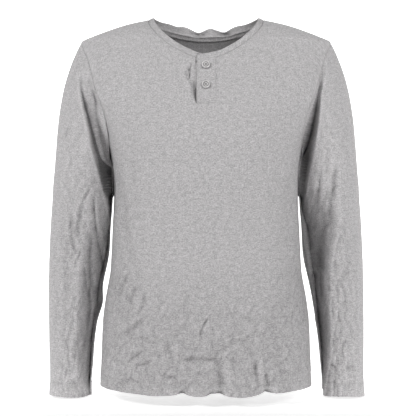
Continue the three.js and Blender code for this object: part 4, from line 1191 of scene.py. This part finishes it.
def thread_row(name, points, normals, stitch=3.0, gap=1.0, radius=0.24):
    """A row of lockstitches along a line of points on the cloth."""
    run = arc(points, 0)
    count = int(run[-1] // (stitch + gap))
    starts = (np.arange(count) + 0.5) * run[-1] / count - stitch / 2
    at = (starts[:, None] + np.array([0, 0.2, 0.5, 0.8, 1.0]) * stitch).ravel()
    ahead = unit(read_at(at + 0.5, run, points) - read_at(at - 0.5, run, points))
    out = unit(read_at(at, run, normals))
    across = unit(np.cross(ahead, out))
    high = np.tile([-0.15, 0.9, 1.0, 0.9, -0.15], count) * radius - THREAD_DIP
    size = np.tile([0.5, 0.95, 1, 0.95, 0.5], count) * radius
    middle = read_at(at, run, points) + out * high[:, None]
    sides = 5
    turns = [math.tau * k / sides for k in range(sides)]
    rings = [middle + size[:, None] * (math.cos(a) * across + math.sin(a) * out) for a in turns]
    faces = []
    for first in range(0, len(at) * sides, 5 * sides):
        last = first + 4 * sides
        for ring in range(first, last, sides):
            for k in range(sides):
                a, b = ring + k, ring + (k + 1) % sides
                faces.append((a, b, b + sides, a + sides))
        faces.append(tuple(range(first + sides - 1, first - 1, -1)))
        faces.append(tuple(range(last, last + sides)))
    mesh = bpy.data.meshes.new(name)
    mesh.from_pydata((np.stack(rings, axis=1).reshape(-1, 3) * MM).tolist(), [], faces)
    return dress(finish_piece(name, mesh), THREAD, "jersey")


def row_at(grid, distance):
    """The line of a grid that lies at a distance from its first row."""
    v = grid["v"][:, : grid["p"].shape[1]]
    upward = 1 if v[0, 0] < v[-1, 0] else -1
    v, p, n = v[::upward], grid["p"][::upward], grid["n"][::upward]
    points, normals = (np.array([read_at(distance, v[:, c], of[:, c]) for c in range(p.shape[1])])
        for of in (p, n))
    if grid.get("ring"):
        points, normals = np.r_[points, points[:1]], np.r_[normals, normals[:1]]
    return points, unit(normals)


for needle in (0, 1):
    for label, grid in (("front", front), ("back", back)):
        thread_row(f"{label}_hem_stitch_{needle}", *row_at(grid, BODY_HEM - needle * TWIN_NEEDLE))
    for label, grid in (("left", sleeve_left), ("right", sleeve_right)):
        thread_row(f"{label}_cuff_stitch_{needle}", *row_at(grid, CUFF_HEM - needle * TWIN_NEEDLE))

# Placket stitching: down the free edge, across the bottom twice and up the sewn edge.
edge_share = STITCH_IN / (2 * PLACKET_HALF)
for label, share in (("free", edge_share), ("sewn", 1 - edge_share)):
    at = share * (over["p"].shape[1] - 1)
    low = int(at)
    line = lerp(over["p"][:, low], over["p"][:, low + 1], at - low)
    thread_row(f"placket_{label}_stitch", line[1:], over["n"][1:, low], *PLACKET_THREAD)
for label, height in (("bottom", STITCH_IN), ("box", 10)):
    thread_row(f"placket_{label}_stitch", *row_at(over, height), *PLACKET_THREAD)


# ------------------------ stage, light and camera
def studio():
    world = bpy.data.worlds.new("studio")
    bpy.context.scene.world = world
    world.use_nodes = True
    # The room is pale round its walls and dim overhead.
    tree = world.node_tree
    way = node(tree, "TexCoord").outputs["Generated"]
    height = node(tree, "SeparateXYZ", {"Vector": way}).outputs["Z"]
    dim = node(tree, "MapRange",
        {"Value": height, "From Min": 0.12, "From Max": 0.4, "To Min": 0.28, "To Max": 0.06},
        interpolation_type="SMOOTHSTEP")
    tree.links.new(dim.outputs["Result"], tree.nodes["Background"].inputs["Strength"])
    tree.nodes["Background"].inputs["Color"].default_value = (1, 1, 1, 1)
    floor_z = LOW.z - 0.004
    made = bmesh.new()
    # The floor sweeps up behind into a wall, with a wide curve between.
    wide, near, far, curve = 6.0, -3.5, 2.2, 1.2
    profile = [(near, 0.0), (far, 0.0)]
    profile += [(far + curve * math.sin(a), curve * (1 - math.cos(a)))
        for a in (math.pi / 2 * i / 12 for i in range(1, 13))]
    profile.append((far + curve, 5.0))
    lines = [[made.verts.new((s * wide, y, floor_z + z)) for y, z in profile] for s in (-1, 1)]
    bridge(made, list(zip(*lines)), closed=False)
    sweep = to_object("paper_sweep", made)
    sweep.data.shade_smooth()
    # Opal acrylic sheet lit from behind: an even, matt white.
    paper, tree = material("opal_acrylic")
    # Only the part behind the shirt is lit from below; it fades out to the front and the sides.
    where = node(tree, "TexCoord").outputs["Object"]
    at = node(tree, "SeparateXYZ", {"Vector": where}).outputs
    behind = node(tree, "MapRange",
        {"Value": at["Y"], "From Min": -0.4, "From Max": 0.1, "To Min": 0.02, "To Max": 0.85},
        interpolation_type="SMOOTHSTEP")
    aside = node(tree, "Math", {0: at["X"]}, operation="ABSOLUTE")
    between = node(tree, "MapRange",
        {"Value": aside, "From Min": 1.0, "From Max": 2.2, "To Min": 1.0, "To Max": 0.25},
        interpolation_type="SMOOTHSTEP")
    glow = node(tree, "Math", {0: behind, 1: between}, operation="MULTIPLY")
    skin = node(tree, "BsdfPrincipled", {"Base Color": tone("#e6e6e6"), "Roughness": 1.0,
        "Emission Color": tone("#ffffff"), "Emission Strength": glow})
    node(tree, "OutputMaterial", {"Surface": skin})
    sweep.data.materials.append(paper)


Lamp = namedtuple("Lamp", "name x y z size power aim_y", defaults=[0.0])
LAMPS = [
    Lamp("left softbox", -2.5, -1.5, 1.45, 0.8, 57),
    Lamp("right softbox", 2.5, -1.5, 1.45, 0.8, 34),
    Lamp("front softbox", 1.2, -3.1, 0.5, 1.0, 34),
    Lamp("wall left", -1.5, 1.0, 1.2, 1.2, 14, 3.4),
    Lamp("wall right", 1.5, 1.0, 1.2, 1.2, 14, 3.4),
]


def light_up():
    for lamp in LAMPS:
        data = bpy.data.lights.new(lamp.name, "AREA")
        data.shape, data.size, data.energy = "SQUARE", lamp.size, lamp.power
        made = add(lamp.name, data)
        made.location = (lamp.x, lamp.y, lamp.z)
        aim = Vector((MIDDLE.x if lamp.aim_y == 0 else lamp.x * 0.2, lamp.aim_y, MIDDLE.z))
        made.rotation_euler = (aim - made.location).to_track_quat("-Z", "Y").to_euler()


def camera():
    distance, frame_width, sensor = 1.9, 0.778, 36.0
    data = bpy.data.cameras.new("camera")
    data.sensor_width = sensor
    data.lens = sensor * distance / frame_width
    made = add("camera", data)
    # A hair to the right of the middle, and below it.
    made.location = (MIDDLE.x + 0.003, -distance, MIDDLE.z - 0.006)
    made.rotation_euler = (math.pi / 2, 0, 0)
    bpy.context.scene.camera = made
    bpy.context.scene.view_settings.view_transform = "Standard"


studio()
light_up()
camera()
